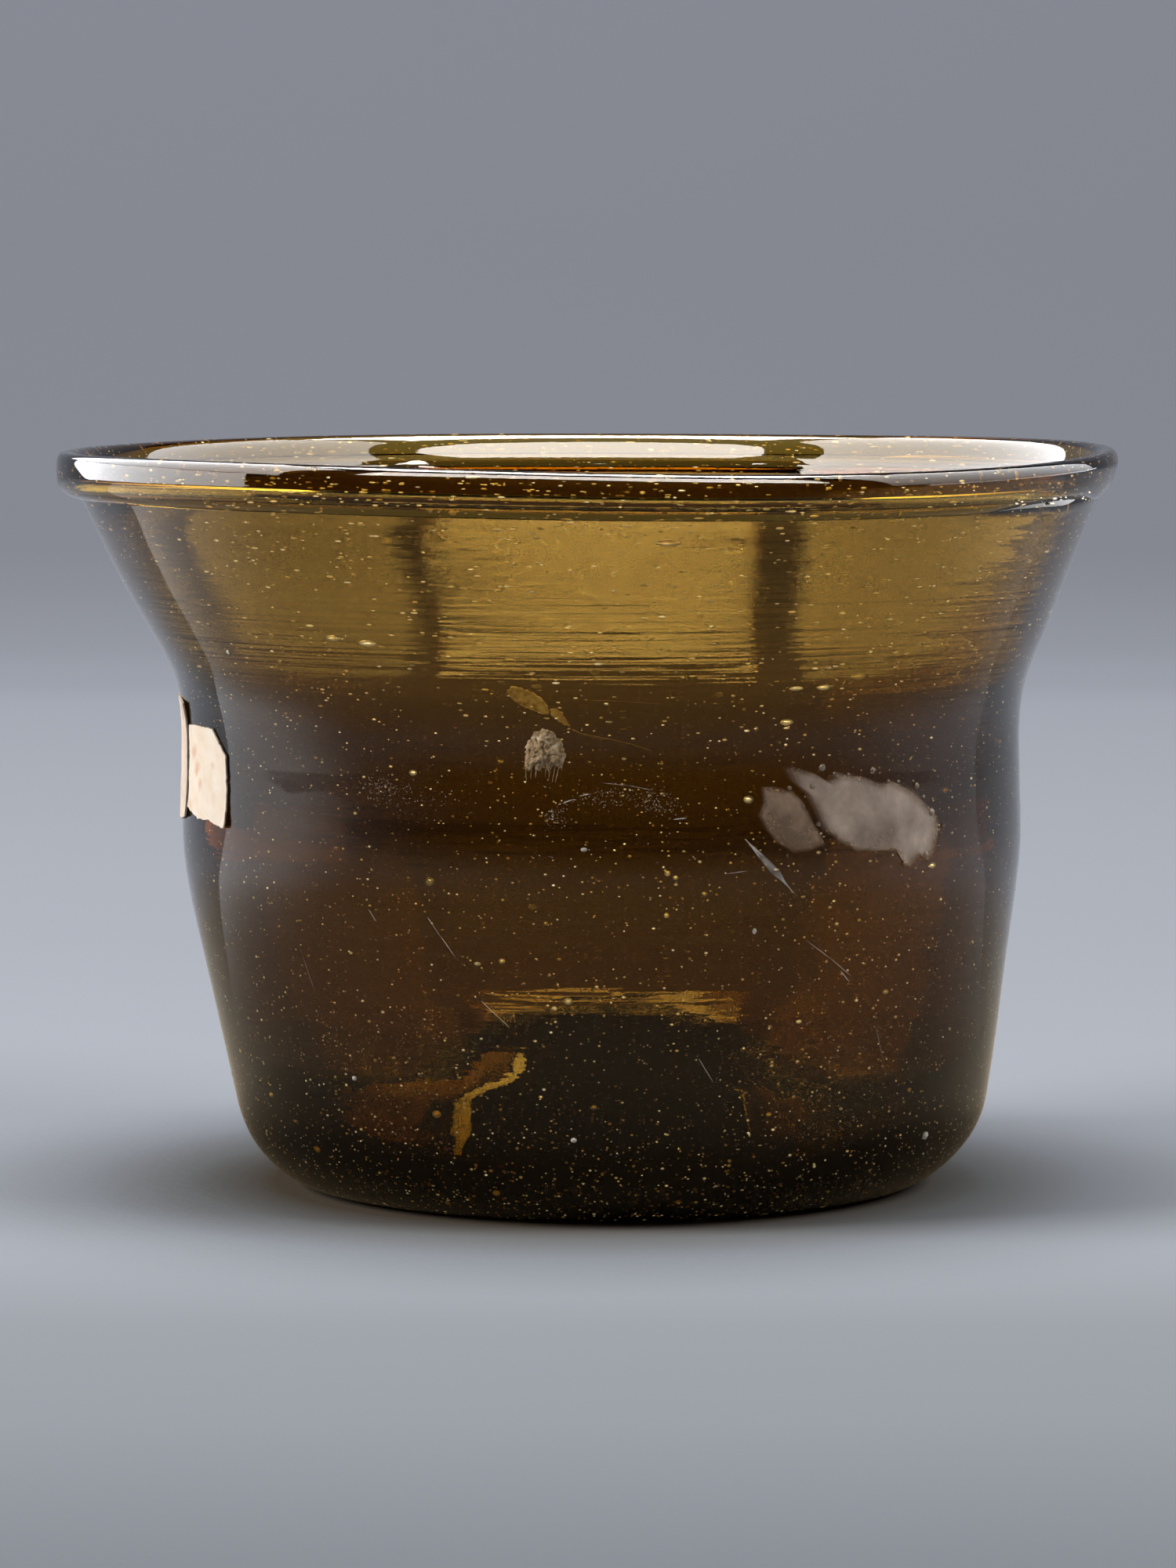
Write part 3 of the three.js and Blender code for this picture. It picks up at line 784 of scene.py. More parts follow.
# Crusts: a grey lump outside with strands hanging from it, an ochre one inside
crusts = {
    "crustLump": {
        "azimuth": -7.4, "level": 41.6, "inside": False, "crown": 0.75, "edge": 0.16, "rough": 0.3,
        "grain": 2.6, "seed": 21.5, "slot": "pale_crust", "replaces": "crust_lump",
        "outline": [(-10.0, 41.4), (-9.7, 42.5), (-8.7, 43.3), (-7.3, 43.6), (-6.2, 43.2), (-5.2, 42.5),
                    (-4.7, 41.4), (-5.0, 40.7), (-5.4, 40.2), (-6.3, 40.6), (-6.9, 39.9), (-7.4, 40.5),
                    (-8.2, 39.9), (-8.9, 40.5), (-9.6, 39.9), (-10.1, 40.4)],
    },
    "crustInside": {
        "azimuth": -9.8, "level": 46.2, "inside": True, "crown": 0.32, "edge": 0.14, "rough": 0.16,
        "grain": 3.4, "seed": 33.1, "slot": "ochre_crust", "replaces": "crust_patch_inside",
        "outline": [(-12.3, 47.0), (-11.6, 47.4), (-10.4, 47.2), (-9.2, 46.9), (-8.0, 46.4), (-7.2, 45.6),
                    (-7.1, 44.9), (-7.9, 44.9), (-9.0, 45.2), (-10.2, 45.5), (-11.3, 46.0), (-12.1, 46.5)],
    },
    "crustInsideSmall": {
        "azimuth": -5.7, "level": 44.7, "inside": True, "crown": 0.22, "edge": 0.1, "rough": 0.12,
        "grain": 3.8, "seed": 47.9, "slot": "ochre_crust", "replaces": None,
        "outline": [(-6.9, 45.3), (-6.0, 45.4), (-5.3, 45.0), (-4.8, 44.4), (-4.3, 43.8), (-5.2, 44.0),
                    (-6.1, 44.4), (-6.8, 44.8)],
    },
}
crustShape = {"rings": 12, "spacing": 0.13, "ragged": 0.16, "raggedSize": 4.5, "round": 2.2,
              "fineKnobs": 2.3, "least": 0.06, "under": 0.01}
# dark, pale and fleck as screen colours, size of the grain, and a painted emission for the light through a thin
# crust
crustLooks = {
    "pale_crust": ("greyCrust", (104, 80, 48), (168, 140, 102), (234, 220, 190), 1500, 0),
    "ochre_crust": ("ochreCrust", (170, 136, 88), (242, 222, 186), (255, 250, 234), 1300, 0.48),
}


def crustLook(name, dark, pale, fleck, size, paintedGlow):
    material, tree, place = blankMaterial(name)
    grain = addGrain(tree, place, size, 6, size * 4, 0.0001)
    tone = addRamp(tree, grain["Cloud"], [
        (0.3, fromScreen(*dark)), (0.55, fromScreen(*pale)), (0.75, fromScreen(*fleck))])
    pits = addNode(tree, "ShaderNodeTexVoronoi", {"Vector": place, "Scale": size * 3})
    bump = addNode(tree, "ShaderNodeBump", {
        "Height": pits.outputs[0], "Distance": 0.00012, "Strength": 0.8, "Normal": grain["Normal"]})
    # the crust also gives off its tone as painted light, though it is no lamp
    return surfaced(material, addNode(tree, "ShaderNodeBsdfPrincipled", {
        "Base Color": tone, "Roughness": 0.85, "Normal": bump.outputs[0],
        "Emission Color": tone, "Emission Strength": paintedGlow}))


crustMaterials = {slot: crustLook(*look) for slot, look in crustLooks.items()}
for name, crust in crusts.items():
    corners = outlineOnWall(crust["outline"], crust["azimuth"], crust["level"], crust["inside"])
    if crust["inside"]:
        corners = corners[::-1]
    piece, flat, share, top = flatSheet(name, corners, crustShape["rings"], crustShape["spacing"])
    ragged = roughNoise(flat, crustShape["raggedSize"], crust["seed"]) * crustShape["ragged"]
    flat = pushedOut(flat, ragged * share ** 4, 0.3)
    body = crust["edge"] + (crust["crown"] - crust["edge"]) * (1 - share ** crustShape["round"])
    knobs = (roughNoise(flat, crust["grain"], crust["seed"] + 2)
             + 0.5 * roughNoise(flat, crust["grain"] * crustShape["fineKnobs"], crust["seed"]))
    off = np.maximum(body + crust["rough"] * knobs, crustShape["least"])
    movePoints(piece, np.column_stack([flat, np.where(top, off, crustShape["under"])]))
    layOnWall(piece, crust["azimuth"], crust["level"], crust["inside"])
    finishPiece(piece, crustMaterials[crust["slot"]], crust["replaces"])
print("crusts laid")

# strands that hang from the lump: azimuth, top level, length, lean, half width
strands = [(-9.9, 41.2, 2.1, -4, 0.07), (-9.2, 41.0, 1.7, 2, 0.05), (-8.5, 41.4, 2.0, 4, 0.08),
           (-7.9, 41.2, 1.4, -3, 0.05), (-7.3, 40.9, 1.5, 3, 0.06), (-6.7, 41.3, 2.1, 8, 0.07),
           (-6.2, 41.0, 1.9, 9, 0.06), (-5.7, 41.2, 2.2, 12, 0.06), (-5.1, 41.6, 1.6, 6, 0.05)]
strandModel = rodModel("strandModel", 7, (0, -0.6, 0.6))
place = points(strandModel)
place[:, [0, 2]] *= np.interp(place[:, 1], [-1, -0.6, 0, 0.6, 1], [0.15, 0.6, 0.75, 1.0, 0.7])[:, None]
place[:, 0] += 0.5 * np.sin(place[:, 1] * 2.2)
movePoints(strandModel, place)
strandFrames = wallFrames(
    [(a, top - length / 2, half, length / 2, half * 1.3) for a, top, length, lean, half in strands],
    0.8, turned=np.radians([-row[3] for row in strands]))
crustStrands = copiesOf(strandModel, strandFrames, "crustStrands")
removeModels(strandModel)
finishPiece(crustStrands, crustMaterials["pale_crust"])

# Small marks: dust, bits stuck inside that give off painted light, fine scratches and a feathered bruise
marks = {
    # clusters of dust: azimuth, level, reach along and up, count
    "clusters": [(-30.4, 38.1, 3.0, 1.1, 120), (-6.2, 36.2, 1.3, 1.0, 70), (1.1, 37.9, 4.6, 0.9, 120),
                 (7.2, 37.3, 2.2, 1.1, 110), (-24, 37.6, 4.5, 1.6, 60), (26.5, 29, 3.5, 2.4, 40)],
    "clusterSize": (0.02, 0.05),
    "loose": 2600, "looseSize": (0.02, 0.055), "looseLevels": (1.5, 47), "seed": 29,
    # azimuth, level, half sizes along, up and off the wall
    "specks": [(-53.4, 49.1, 0.28, 0.26, 0.1), (-39.5, 12.6, 0.3, 0.24, 0.1), (-5.6, 8.2, 0.3, 0.25, 0.1),
               (54.8, 6.6, 0.4, 0.42, 0.15), (20.2, 26.2, 0.22, 0.3, 0.08), (-2.4, 33.4, 0.3, 0.2, 0.1)],
    "bits": [(-8.8, 48.5, 0.27, 0.06, 0.05), (-8.5, 48.0, 0.36, 0.09, 0.06), (-8.3, 47.4, 0.5, 0.22, 0.1),
             (-0.6, 48.7, 0.45, 0.32, 0.12), (-0.7, 48.1, 0.28, 0.08, 0.06), (15.6, 46.6, 0.36, 0.27, 0.1),
             (21.2, 43.4, 0.22, 0.27, 0.1), (19.2, 45.2, 0.2, 0.17, 0.08), (-9.6, 28.4, 0.42, 0.26, 0.12)],
    # half width, then azimuth and level along the scratch
    "scratches": [(0.03, (-32.4, 27.7), (-31.4, 26.7)), (0.02, (-23.6, 27.3), (-21.9, 25.6), (-20.2, 24.0)),
                  (0.02, (-17.2, 20.2), (-15.1, 18.9), (-13.6, 18.0)),
                  (0.018, (28.0, 25.1), (31.7, 23.5), (35.4, 21.8)), (0.03, (33.6, 22.3), (35.2, 21.3)),
                  (0.035, (-5.1, 37.3), (-3.9, 37.6), (-3.4, 37.6)), (0.035, (-3.0, 37.9), (-1.8, 38.1)),
                  (0.045, (9.2, 35.9), (10.9, 36.0)), (0.014, (0.2, 39.0), (3.4, 38.8), (6.4, 38.4)),
                  (0.02, (12.4, 15.3), (14.6, 13.2)), (0.016, (16, 31.2), (19, 31.4)),
                  (0.012, (-46, 24), (-44.2, 20)), (0.012, (40.5, 17), (43, 13.5))],
    "threads": [(0.03, (-4.2, 43.6), (-2.8, 43.2), (-1.4, 43.0), (1.6, 42.6)),
                (0.02, (1.4, 42.6), (4.2, 42.2), (6.6, 41.6)),
                (0.016, (-3.4, 43.2), (-0.2, 42.7), (2.4, 42.6)), (0.014, (-1.4, 46.2), (3, 46.1), (8, 45.8))],
    # a bruise: its two ends, where it is widest, its breadth, which way it spreads, and its strands
    "bruise": {"from": (18.6, 34.2), "to": (26.0, 29.1), "wide": 0.6, "breadth": 0.6,
               "across": (0.6, 1.0), "strands": 6},
}
startClean()
bpy.ops.mesh.primitive_ico_sphere_add(subdivisions=1, radius=1)
fleckModel = named("fleckModel")
strokeModel = rodModel("strokeModel", 5, (-0.5, 0.5))
place = points(strokeModel)
place[:, [0, 2]] *= np.interp(np.abs(place[:, 1]), [0.5, 1], [1, 0.35])[:, None]
movePoints(strokeModel, place)


def dustLook(name, colour, roughness, paintedGlow=0):
    material, tree, place = blankMaterial(name)
    tint = fromScreen(*colour)
    grain = addGrain(tree, place, 900, 3, 6000, 0.00002)
    tone = addRamp(tree, grain["Cloud"], [(0.35, tuple(c * 0.55 for c in tint)), (0.65, tint)])
    # above 0, the last number makes the marks give off painted light, though they are no lamp
    return surfaced(material, addNode(tree, "ShaderNodeBsdfPrincipled", {
        "Base Color": tone, "Roughness": roughness, "Normal": grain["Normal"],
        "Emission Color": tone, "Emission Strength": paintedGlow}))


def strokeFrames(strokes, inside=False):
    # each scratch as short straight rods laid end to end
    spots, turned = [], []
    for half, *route in strokes:
        for (a0, z0), (a1, z1) in zip(route, route[1:]):
            level = (z0 + z1) / 2
            run, rise = math.radians(a1 - a0) * float(wallSide(inside)(level)), z1 - z0
            spots.append(((a0 + a1) / 2, level, half, math.hypot(run, rise) * 0.52, half * 0.6))
            turned.append(math.atan2(-run, rise))
    return wallFrames(spots, 0.2, np.array(turned), inside)


def dustSpots():
    spots = []
    for azimuth, level, along, up, count in marks["clusters"]:
        size = scatter.uniform(*marks["clusterSize"], count)
        spots.append(np.stack([azimuth + scatter.normal(0, along / 1.6, count),
                               level + scatter.normal(0, up / 1.8, count), size, size, size * 0.6], axis=1))
    count = marks["loose"]
    size = scatter.uniform(*marks["looseSize"], count)
    spots.append(np.stack([scatter.uniform(-180, 180, count), scatter.uniform(*marks["looseLevels"], count),
                           size, size * scatter.uniform(0.6, 1, count), size * 0.5], axis=1))
    return np.concatenate(spots)


def bruiseStrokes():
    bruise = marks["bruise"]
    first, last, across = (np.array(bruise[key]) for key in ("from", "to", "across"))
    for k in range(bruise["strands"]):
        side = k / (bruise["strands"] - 1) * 2 - 1
        middle = first + (last - first) * (bruise["wide"] + 0.05 * side) + across * side * bruise["breadth"] / 2
        start = first + (last - first) * 0.12 * abs(side) + across * side * 0.06
        yield (0.02 + 0.012 * (1 - abs(side)), tuple(start), tuple((start + middle) / 2 + across * side * 0.05),
               tuple(middle), tuple(last - (last - first) * 0.2 * abs(side)))


scatter = np.random.default_rng(marks["seed"])
dust = dustLook("paleDust", (206, 196, 180), 0.8)
scratched = dustLook("scratchedGlass", (214, 208, 200), 0.45)
# the bits and threads stuck inside give off painted light
stuck = dustLook("stuckBitsGlowing", (238, 216, 168), 0.7, 0.3)
for name, model, frames, look, slot in (
    ("dustFlecks", fleckModel, wallFrames(dustSpots(), 0.3), dust, "pale_crust"),
    ("wallSpecks", fleckModel, wallFrames(marks["specks"], 0.3), dust, "pale_crust"),
    ("insideBits", fleckModel, wallFrames(marks["bits"], 0.3, inside=True), stuck, "ochre_crust"),
    ("scratches", strokeModel, strokeFrames(marks["scratches"]), scratched, "amber_glass"),
    ("bruise", strokeModel, strokeFrames(list(bruiseStrokes())), scratched, "amber_glass"),
    ("insideThreads", strokeModel, strokeFrames(marks["threads"], True), stuck, "ochre_crust"),
):
    finishPiece(copiesOf(model, frames, name), look)
removeModels(fleckModel, strokeModel)
print("small marks laid")

# Pontil scar: broken ring of glass under the pushed-in base
scar = {
    "radius": 5.5, "width": 2.0, "drop": 1.5, "gap": 0.04, "turns": 96,
    "shape": [(0, 0), (0.1, 0.45), (0.3, 0.85), (0.5, 1), (0.8, 0.8), (1, 0.35), (1, 0), (0.5, 0), (0, 0)],
    # size and seed of the coarse and the fine break, and how much of the ring they leave
    "coarse": (0.55, 5.2), "fine": (1.7, 1), "fineShare": 0.6,
    "left": 0.72, "uneven": 0.75, "limits": (0.2, 1.1),
}
scarOutline = [(scar["radius"] - scar["width"] + out * scar["width"], -down * scar["drop"])
               for out, down in scar["shape"]]
pontilScar = spunPiece("pontilScar", scarOutline, scar["turns"], closed=True)
place = points(pontilScar) / mm
under = np.interp(np.hypot(place[:, 0], place[:, 1]), kickUnderCurve[:, 0], kickUnderCurve[:, 1])
broken = (roughNoise(place[:, :2], *scar["coarse"])
          + scar["fineShare"] * roughNoise(place[:, :2], *scar["fine"]))
left = np.clip(scar["left"] + scar["uneven"] * broken, *scar["limits"])
place[:, 2] = under - scar["gap"] + place[:, 2] * left
movePoints(pontilScar, warp(place) * mm)
bpy.ops.object.shade_smooth_by_angle(angle=math.radians(35))
finishPiece(pontilScar, bowlMaterial, "pontil_scar")

# Seeds: thousands of small bubbles in the glass, drawn out sideways in the flare
seeds = {
    "candidates": 1300000, "atOnce": 50000, "seed": 11, "margin": 1.25,
    "fine": 16200, "fineSize": (0.046, 0.094), "round": 2600, "roundSize": (0.08, 0.145),
    "large": 90, "largeSize": (0.18, 0.34), "largeBelow": 60,
    # more near the rim and along the foot, and fewer deep in the wall
    "levels": [0, 5, 12, 45, 58, 61.5], "crowding": [1.0, 0.8, 0.34, 0.4, 0.42, 0.55],
    "skinDepth": 0.7, "deepShare": 0.35, "leastRadius": 0.3,
    # how far they are drawn out, by level, and how much their sizes vary
    "pullLevels": [20, 40, 50, 64], "pull": [0.15, 0.35, 1.6, 1.9], "pullVaries": (0.2, 1.4),
    "upVaries": (0.8, 1.05), "offVaries": (0.7, 1.0), "wallAbove": 12,
    # a painted glint on each seed: its colour, the painted light it gives off, and how much of the seed it
    # covers
    "glintColour": (255, 238, 196), "paintedGlow": 0.22, "glintShare": (0.2, 0.8),
    # larger ones seen in the photograph: azimuth, level, half length along and up
    "marked": [(8.4, 59.4, 1.0, 0.27), (-23.4, 30.3, 0.36, 0.38), (13.5, 29.4, 0.22, 0.22),
               (8.4, 27.6, 0.2, 0.24), (8.5, 31.3, 0.24, 0.28), (9.6, 30.9, 0.2, 0.2)],
    "markedDepth": 0.9,
}
glassOutline = np.array(bowlOutline())
channelHole = np.array(channelOutline)


def insideOutline(place, outline):
    if len(place) > seeds["atOnce"]:
        parts = np.array_split(place, len(place) // seeds["atOnce"] + 1)
        return np.concatenate([insideOutline(part, outline) for part in parts])
    x, y = place[:, 0:1], place[:, 1:2]
    start, end = outline, np.roll(outline, -1, axis=0)
    crosses = (start[:, 1] > y) != (end[:, 1] > y)
    rise = np.where(end[:, 1] == start[:, 1], 1e-9, end[:, 1] - start[:, 1])
    where = start[:, 0] + (y - start[:, 1]) * (end[:, 0] - start[:, 0]) / rise
    return (crosses & (x < where)).sum(axis=1) % 2 == 1


def gapToOutline(place, outline):
    start, end = outline[:-1], outline[1:]
    run = end - start
    share = ((place[:, None, :] - start) * run).sum(axis=2) / np.maximum((run ** 2).sum(axis=1), 1e-9)
    near = start + np.clip(share, 0, 1)[:, :, None] * run
    return np.sqrt(((place[:, None, :] - near) ** 2).sum(axis=2)).min(axis=1)


draw = np.random.default_rng(seeds["seed"])
cross = np.stack([draw.uniform(seeds["leastRadius"], bowl["rimRadius"], seeds["candidates"]),
                  draw.uniform(0, bowl["height"], seeds["candidates"])], axis=1)
# as many for each millimetre of girth
wish = cross[:, 0] / bowl["rimRadius"] * np.interp(cross[:, 1], seeds["levels"], seeds["crowding"])
wish *= np.where(outerRadius(cross[:, 1]) - cross[:, 0] < seeds["skinDepth"], 1, seeds["deepShare"])
cross = cross[draw.uniform(0, 1, len(cross)) < wish]
cross = cross[insideOutline(cross, glassOutline) & ~insideOutline(cross, channelHole)]
room = np.minimum(gapToOutline(cross, glassOutline), gapToOutline(cross, channelHole))
freePlaces = {"cross": cross, "room": room}
print("seed places:", len(cross))


def seedFrames(count, low, high, below):
    # takes free places in the wall's cross-section, each turned to a place round the bowl
    cross, room = freePlaces["cross"], freePlaces["room"]
    size = draw.uniform(low, high, len(cross))
    fits = np.flatnonzero((room > size * seeds["margin"]) & (cross[:, 1] < below))[:count]
    chosen, size = cross[fits], size[fits]
    freePlaces["cross"], freePlaces["room"] = np.delete(cross, fits, axis=0), np.delete(room, fits)
    turn = draw.uniform(-math.pi, math.pi, len(chosen))
    r, z = chosen[:, 0], chosen[:, 1]
    axes = wallAxes(turn, np.where(z > seeds["wallAbove"], slopeAt(outerRadius, z, 0.3), 0))
    pulled = 1 + np.interp(z, seeds["pullLevels"], seeds["pull"]) * draw.uniform(*seeds["pullVaries"], len(z))
    sizes = np.stack([size * pulled, size * draw.uniform(*seeds["upVaries"], len(size)),
                      size * draw.uniform(*seeds["offVaries"], len(size))], axis=1)
    return framesOf(axes, sizes, warp(np.stack([r * np.sin(turn), -r * np.cos(turn), z], axis=1)))


def seedAirAndGlint(name):
    # air in the glass, mixed with a painted glint: a metal shine and painted light that stand in for the light
    # each seed catches
    material, tree, place = blankMaterial(name)
    share = remapped(tree, addGrain(tree, place, 900, 0, 900, 0)["Cloud"], (0.35, 0.65), seeds["glintShare"])
    air = addNode(tree, "ShaderNodeBsdfGlass", {
        "Color": (1, 1, 1, 1), "Roughness": 0, "IOR": 1 / glassLook["ior"]})
    glintColour = (*fromScreen(*seeds["glintColour"]), 1)
    paintedGlint = addNode(tree, "ShaderNodeBsdfPrincipled", {
        "Base Color": glintColour, "Roughness": 0.3, "Metallic": 1,
        "Emission Color": glintColour, "Emission Strength": seeds["paintedGlow"]})
    material.cycles.emission_sampling = "NONE"
    return surfaced(material, mixedShader(tree, share, air, paintedGlint))


def seedShape(name, segments, rows):
    # a bubble: round ball with its two ends drawn to a soft point
    startClean()
    bpy.ops.mesh.primitive_uv_sphere_add(
        segments=segments, ring_count=rows, radius=1, rotation=(0, math.pi / 2, 0))
    model = settle(named(name))
    place = points(model)
    place[:, 0] *= 1 + 0.12 * np.abs(place[:, 0]) ** 3
    movePoints(model, place)
    return model


seedMaterial = seedAirAndGlint("seedAirAndGlint")
largeModel = seedShape("seedLargeModel", 10, 7)
roundModel = seedShape("seedRoundModel", 8, 5)
fineModel = seedShape("seedFineModel", 6, 4)
for name, model, count, sizes in (
    ("seedsLarge", largeModel, seeds["large"], seeds["largeSize"]),
    ("seedsRound", roundModel, seeds["round"], seeds["roundSize"]),
    ("seedsFineFirst", fineModel, seeds["fine"] // 3, seeds["fineSize"]),
    ("seedsFineSecond", fineModel, seeds["fine"] // 3, seeds["fineSize"]),
    ("seedsFineThird", fineModel, seeds["fine"] // 3, seeds["fineSize"]),
):
    below = seeds["largeBelow"] if model == largeModel else bowl["height"]
    bubbles = copiesOf(model, seedFrames(count, *sizes, below), name)
    finishPiece(bubbles, seedMaterial)
    print(name, len(bubbles.data.polygons), "faces")
markedFrames = wallFrames([(azimuth, level, along, up, (along + up) / 3)
                           for azimuth, level, along, up in seeds["marked"]], 0)
off = markedFrames[:, :, 2] / np.linalg.norm(markedFrames[:, :, 2], axis=1)[:, None]
markedFrames[:, :, 3] -= off * seeds["markedDepth"] * mm
finishPiece(copiesOf(largeModel, markedFrames, "seedsMarked"), seedMaterial)
removeModels(largeModel, roundModel, fineModel)

# Floor and backdrop: one sweep
sweep = {"front": -2.2, "flat": (-0.5, 0, 0.4), "bend": 0.62, "radius": 0.35, "bendSteps": 12,
         "high": 0.7, "halfWidth": 2.4}
route = [(y, 0) for y in (sweep["front"], *sweep["flat"], sweep["bend"])]
for step in range(1, sweep["bendSteps"] + 1):
    turn = math.radians(90 * step / sweep["bendSteps"])
    route.append((sweep["bend"] + sweep["radius"] * math.sin(turn), sweep["radius"] * (1 - math.cos(turn))))
route.append((sweep["bend"] + sweep["radius"], sweep["high"]))
backdrop = drawnLine("studioSweep", [(-sweep["halfWidth"], y, z) for y, z in route], 1)
bpy.ops.mesh.extrude_region_move(TRANSFORM_OT_translate={"value": (2 * sweep["halfWidth"], 0, 0)})
facesOut()
editOff()
bpy.ops.object.shade_smooth()

# painted light and shade along the sweep, from the front edge to the wall: darker towards the front edge and up
# the wall, lightest on the flat middle; distance and screen colour
paintedSweepShading = [(-0.6, (60, 62, 68)), (-0.3, (94, 97, 104)), (-0.17, (132, 136, 143)),
              (-0.12, (148, 152, 159)), (-0.08, (152, 156, 163)), (-0.04, (168, 172, 180)),
              (0.05, (175, 179, 188)), (0.2, (174, 178, 187)), (0.41, (180, 184, 193)),
              (0.57, (184, 188, 198)), (0.64, (176, 180, 190)), (0.73, (150, 153, 162)),
              (0.84, (147, 150, 159)), (0.97, (151, 154, 164))]
# painted amber light and painted shadow, standing in for what the bowl throws on the paper: distance from its
# middle and tint, as seen straight and as the glass mirrors it, where it is a painted reflection
paintedFootShade = {
    "straight": [(0.028, (0.4, 0.3, 0.2)), (0.036, (0.83, 0.8, 0.73)), (0.046, (1, 1, 1)), (0.2, (1, 1, 1))],
    "mirrored": [(0.028, (0.45, 0.31, 0.16)), (0.06, (1, 0.79, 0.52)), (0.12, (0.9, 0.77, 0.58)),
                 (0.2, (1, 1, 1))],
}


def toneAlong(tree, distance, stops):
    # a ramp whose stops are given as distances
    first, last = stops[0][0], stops[-1][0]
    share = remapped(tree, distance, (first, last))
    return addRamp(tree, share, [((place - first) / (last - first), colour) for place, colour in stops])


def sweepPaperAndShade(name):
    material, tree, place = blankMaterial(name)
    along = addNode(tree, "ShaderNodeSeparateXYZ", {"Vector": place}).outputs["Y"]
    tone = toneAlong(tree, along, [(y, fromScreen(*colour)) for y, colour in paintedSweepShading])
    # painted shadow and amber light round the foot, and a warmer painted reflection where the glass mirrors the
    # paper
    away = distanceFromMiddle(tree, place)
    mirrored = addNode(tree, "ShaderNodeLightPath").outputs["Is Glossy Ray"]
    shade = mixRgb(tree, mirrored, toneAlong(tree, away, paintedFootShade["straight"]),
                   toneAlong(tree, away, paintedFootShade["mirrored"]))
    shaded = addNode(tree, "ShaderNodeVectorMath", {0: tone, 1: shade}, operation="MULTIPLY")
    return surfaced(material, addNode(tree, "ShaderNodeBsdfPrincipled", {
        "Base Color": shaded.outputs[0], "Roughness": 0.9, "Specular IOR Level": 0,
        "Normal": addGrain(tree, place, 3, 2, 900, 0.00006)["Normal"]}))


backdrop.data.materials.append(sweepPaperAndShade("sweepPaperAndShade"))

# Light
lightRig = {
    "aim": (0, 0, 0.05),
    # Upright soft boards: azimuth from and to, elevation from and to, distance, which rays see them,
    # brightness at foot and top. They show in the glass only; the matt surfaces have lamps of their own.
    "boards": {
        "frontBoard": (-51, 54, 32, 58, 0.8, "glass", 20.5, 20.5),
        "leftBoard": (-151.5, -68, 13, 58, 0.8, "glass", 6.4, 16.5),
        "leftLowBoard": (-144, -76, -3, 12, 0.9, "mirrored", 7, 8),
        "rightBoard": (66, 137, 3, 58, 0.8, "glass", 1.9, 11),
        "rightLowBoard": (76, 140, -3, 2, 0.9, "mirrored", 3, 4),
    },
    # place, width, depth, brightness
    "roofBoard": ((0, 0.08, 1.5), 1.6, 0.95, 33),
    # soft panels just over the floor beside the bowl, as its walls mirror them: azimuth where they end
    # and where they have faded out, near and far, brightness
    "floorBoards": {
        "leftFloorBoard": (-120, -62, 0.04, 0.7, 0.85),
        "rightFloorBoard": (120, 54, 0.04, 0.7, 0.2),
    },
    "floorBoardEdge": (0.065, 0.17), "floorBoardFull": 0.8, "floorBoardLevel": 0.0008, "floorBoardSteps": 12,
    # for each kind of board: the mirrorings a ray must be above and the glass it must be below
    "seenBy": {"glass": (-1, 99), "mirrored": (0.5, 99), "outerFace": (0.5, 0.5)},
    "boardColour": (0.97, 1, 1.08),
    # place, size and brightness of the lamps for matt surfaces
    "lamps": {
        "highLamp": ((0, 0.03, 1.3), 0.58, 9.0),
        "leftLamp": ((-0.937, -0.251, 0.5), 0.5, 11),
        "rightLamp": ((0.823, -0.3, 0.664), 0.5, 5.4),
    },
    "world": 0.07, "worldMirrored": 0.03,
}


def rayShare(tree, kind):
    # 1 for the rays that see this kind of board, and 0 for the others and after any matt surface
    aboveMirrored, belowGlass = lightRig["seenBy"][kind]
    path = addNode(tree, "ShaderNodeLightPath").outputs
    mirrored = maths(tree, "GREATER_THAN", path["Glossy Depth"], aboveMirrored)
    clean = maths(tree, "LESS_THAN", path["Diffuse Depth"], 0.5)
    direct = maths(tree, "LESS_THAN", path["Transmission Depth"], belowGlass)
    return maths(tree, "MULTIPLY", maths(tree, "MULTIPLY", mirrored, clean), direct)


def boardShine(tree, strength):
    return addNode(tree, "ShaderNodeEmission", {"Color": (*lightRig["boardColour"], 1), "Strength": strength})


def boardLook(name, foot, top, kind, brightness):
    material, tree, place = blankMaterial(name)
    level = addNode(tree, "ShaderNodeSeparateXYZ", {"Vector": place}).outputs["Z"]
    shine = boardShine(tree, remapped(tree, level, (foot, top), brightness))
    clear = addNode(tree, "ShaderNodeBsdfTransparent")
    return surfaced(material, mixedShader(tree, rayShare(tree, kind), clear, shine))


def floorBoardLook(name, strong, weak, brightness):
    # fades round the bowl and towards it, and adds its light to the floor that shows through it
    material, tree, place = blankMaterial(name)
    split = addNode(tree, "ShaderNodeSeparateXYZ", {"Vector": place}).outputs
    turn = maths(tree, "ARCTAN2", split["X"], maths(tree, "MULTIPLY", split["Y"], -1))
    full = math.radians(strong * lightRig["floorBoardFull"])
    soft = {"interpolation_type": "SMOOTHSTEP"}
    faded = remapped(tree, turn, (math.radians(weak), full), (0, brightness), **soft)
    softened = remapped(tree, distanceFromMiddle(tree, place), lightRig["floorBoardEdge"], (0, faded), **soft)
    shine = boardShine(tree, maths(tree, "MULTIPLY", softened, rayShare(tree, "outerFace")))
    clear = addNode(tree, "ShaderNodeBsdfTransparent")
    return surfaced(material, addNode(tree, "ShaderNodeAddShader", {0: clear.outputs[0], 1: shine.outputs[0]}))


def finishBoard(board, material):
    material.cycles.emission_sampling = "NONE"
    board.data.materials.append(material)
    board.visible_camera = False
    board.visible_diffuse = False
    board.visible_shadow = False


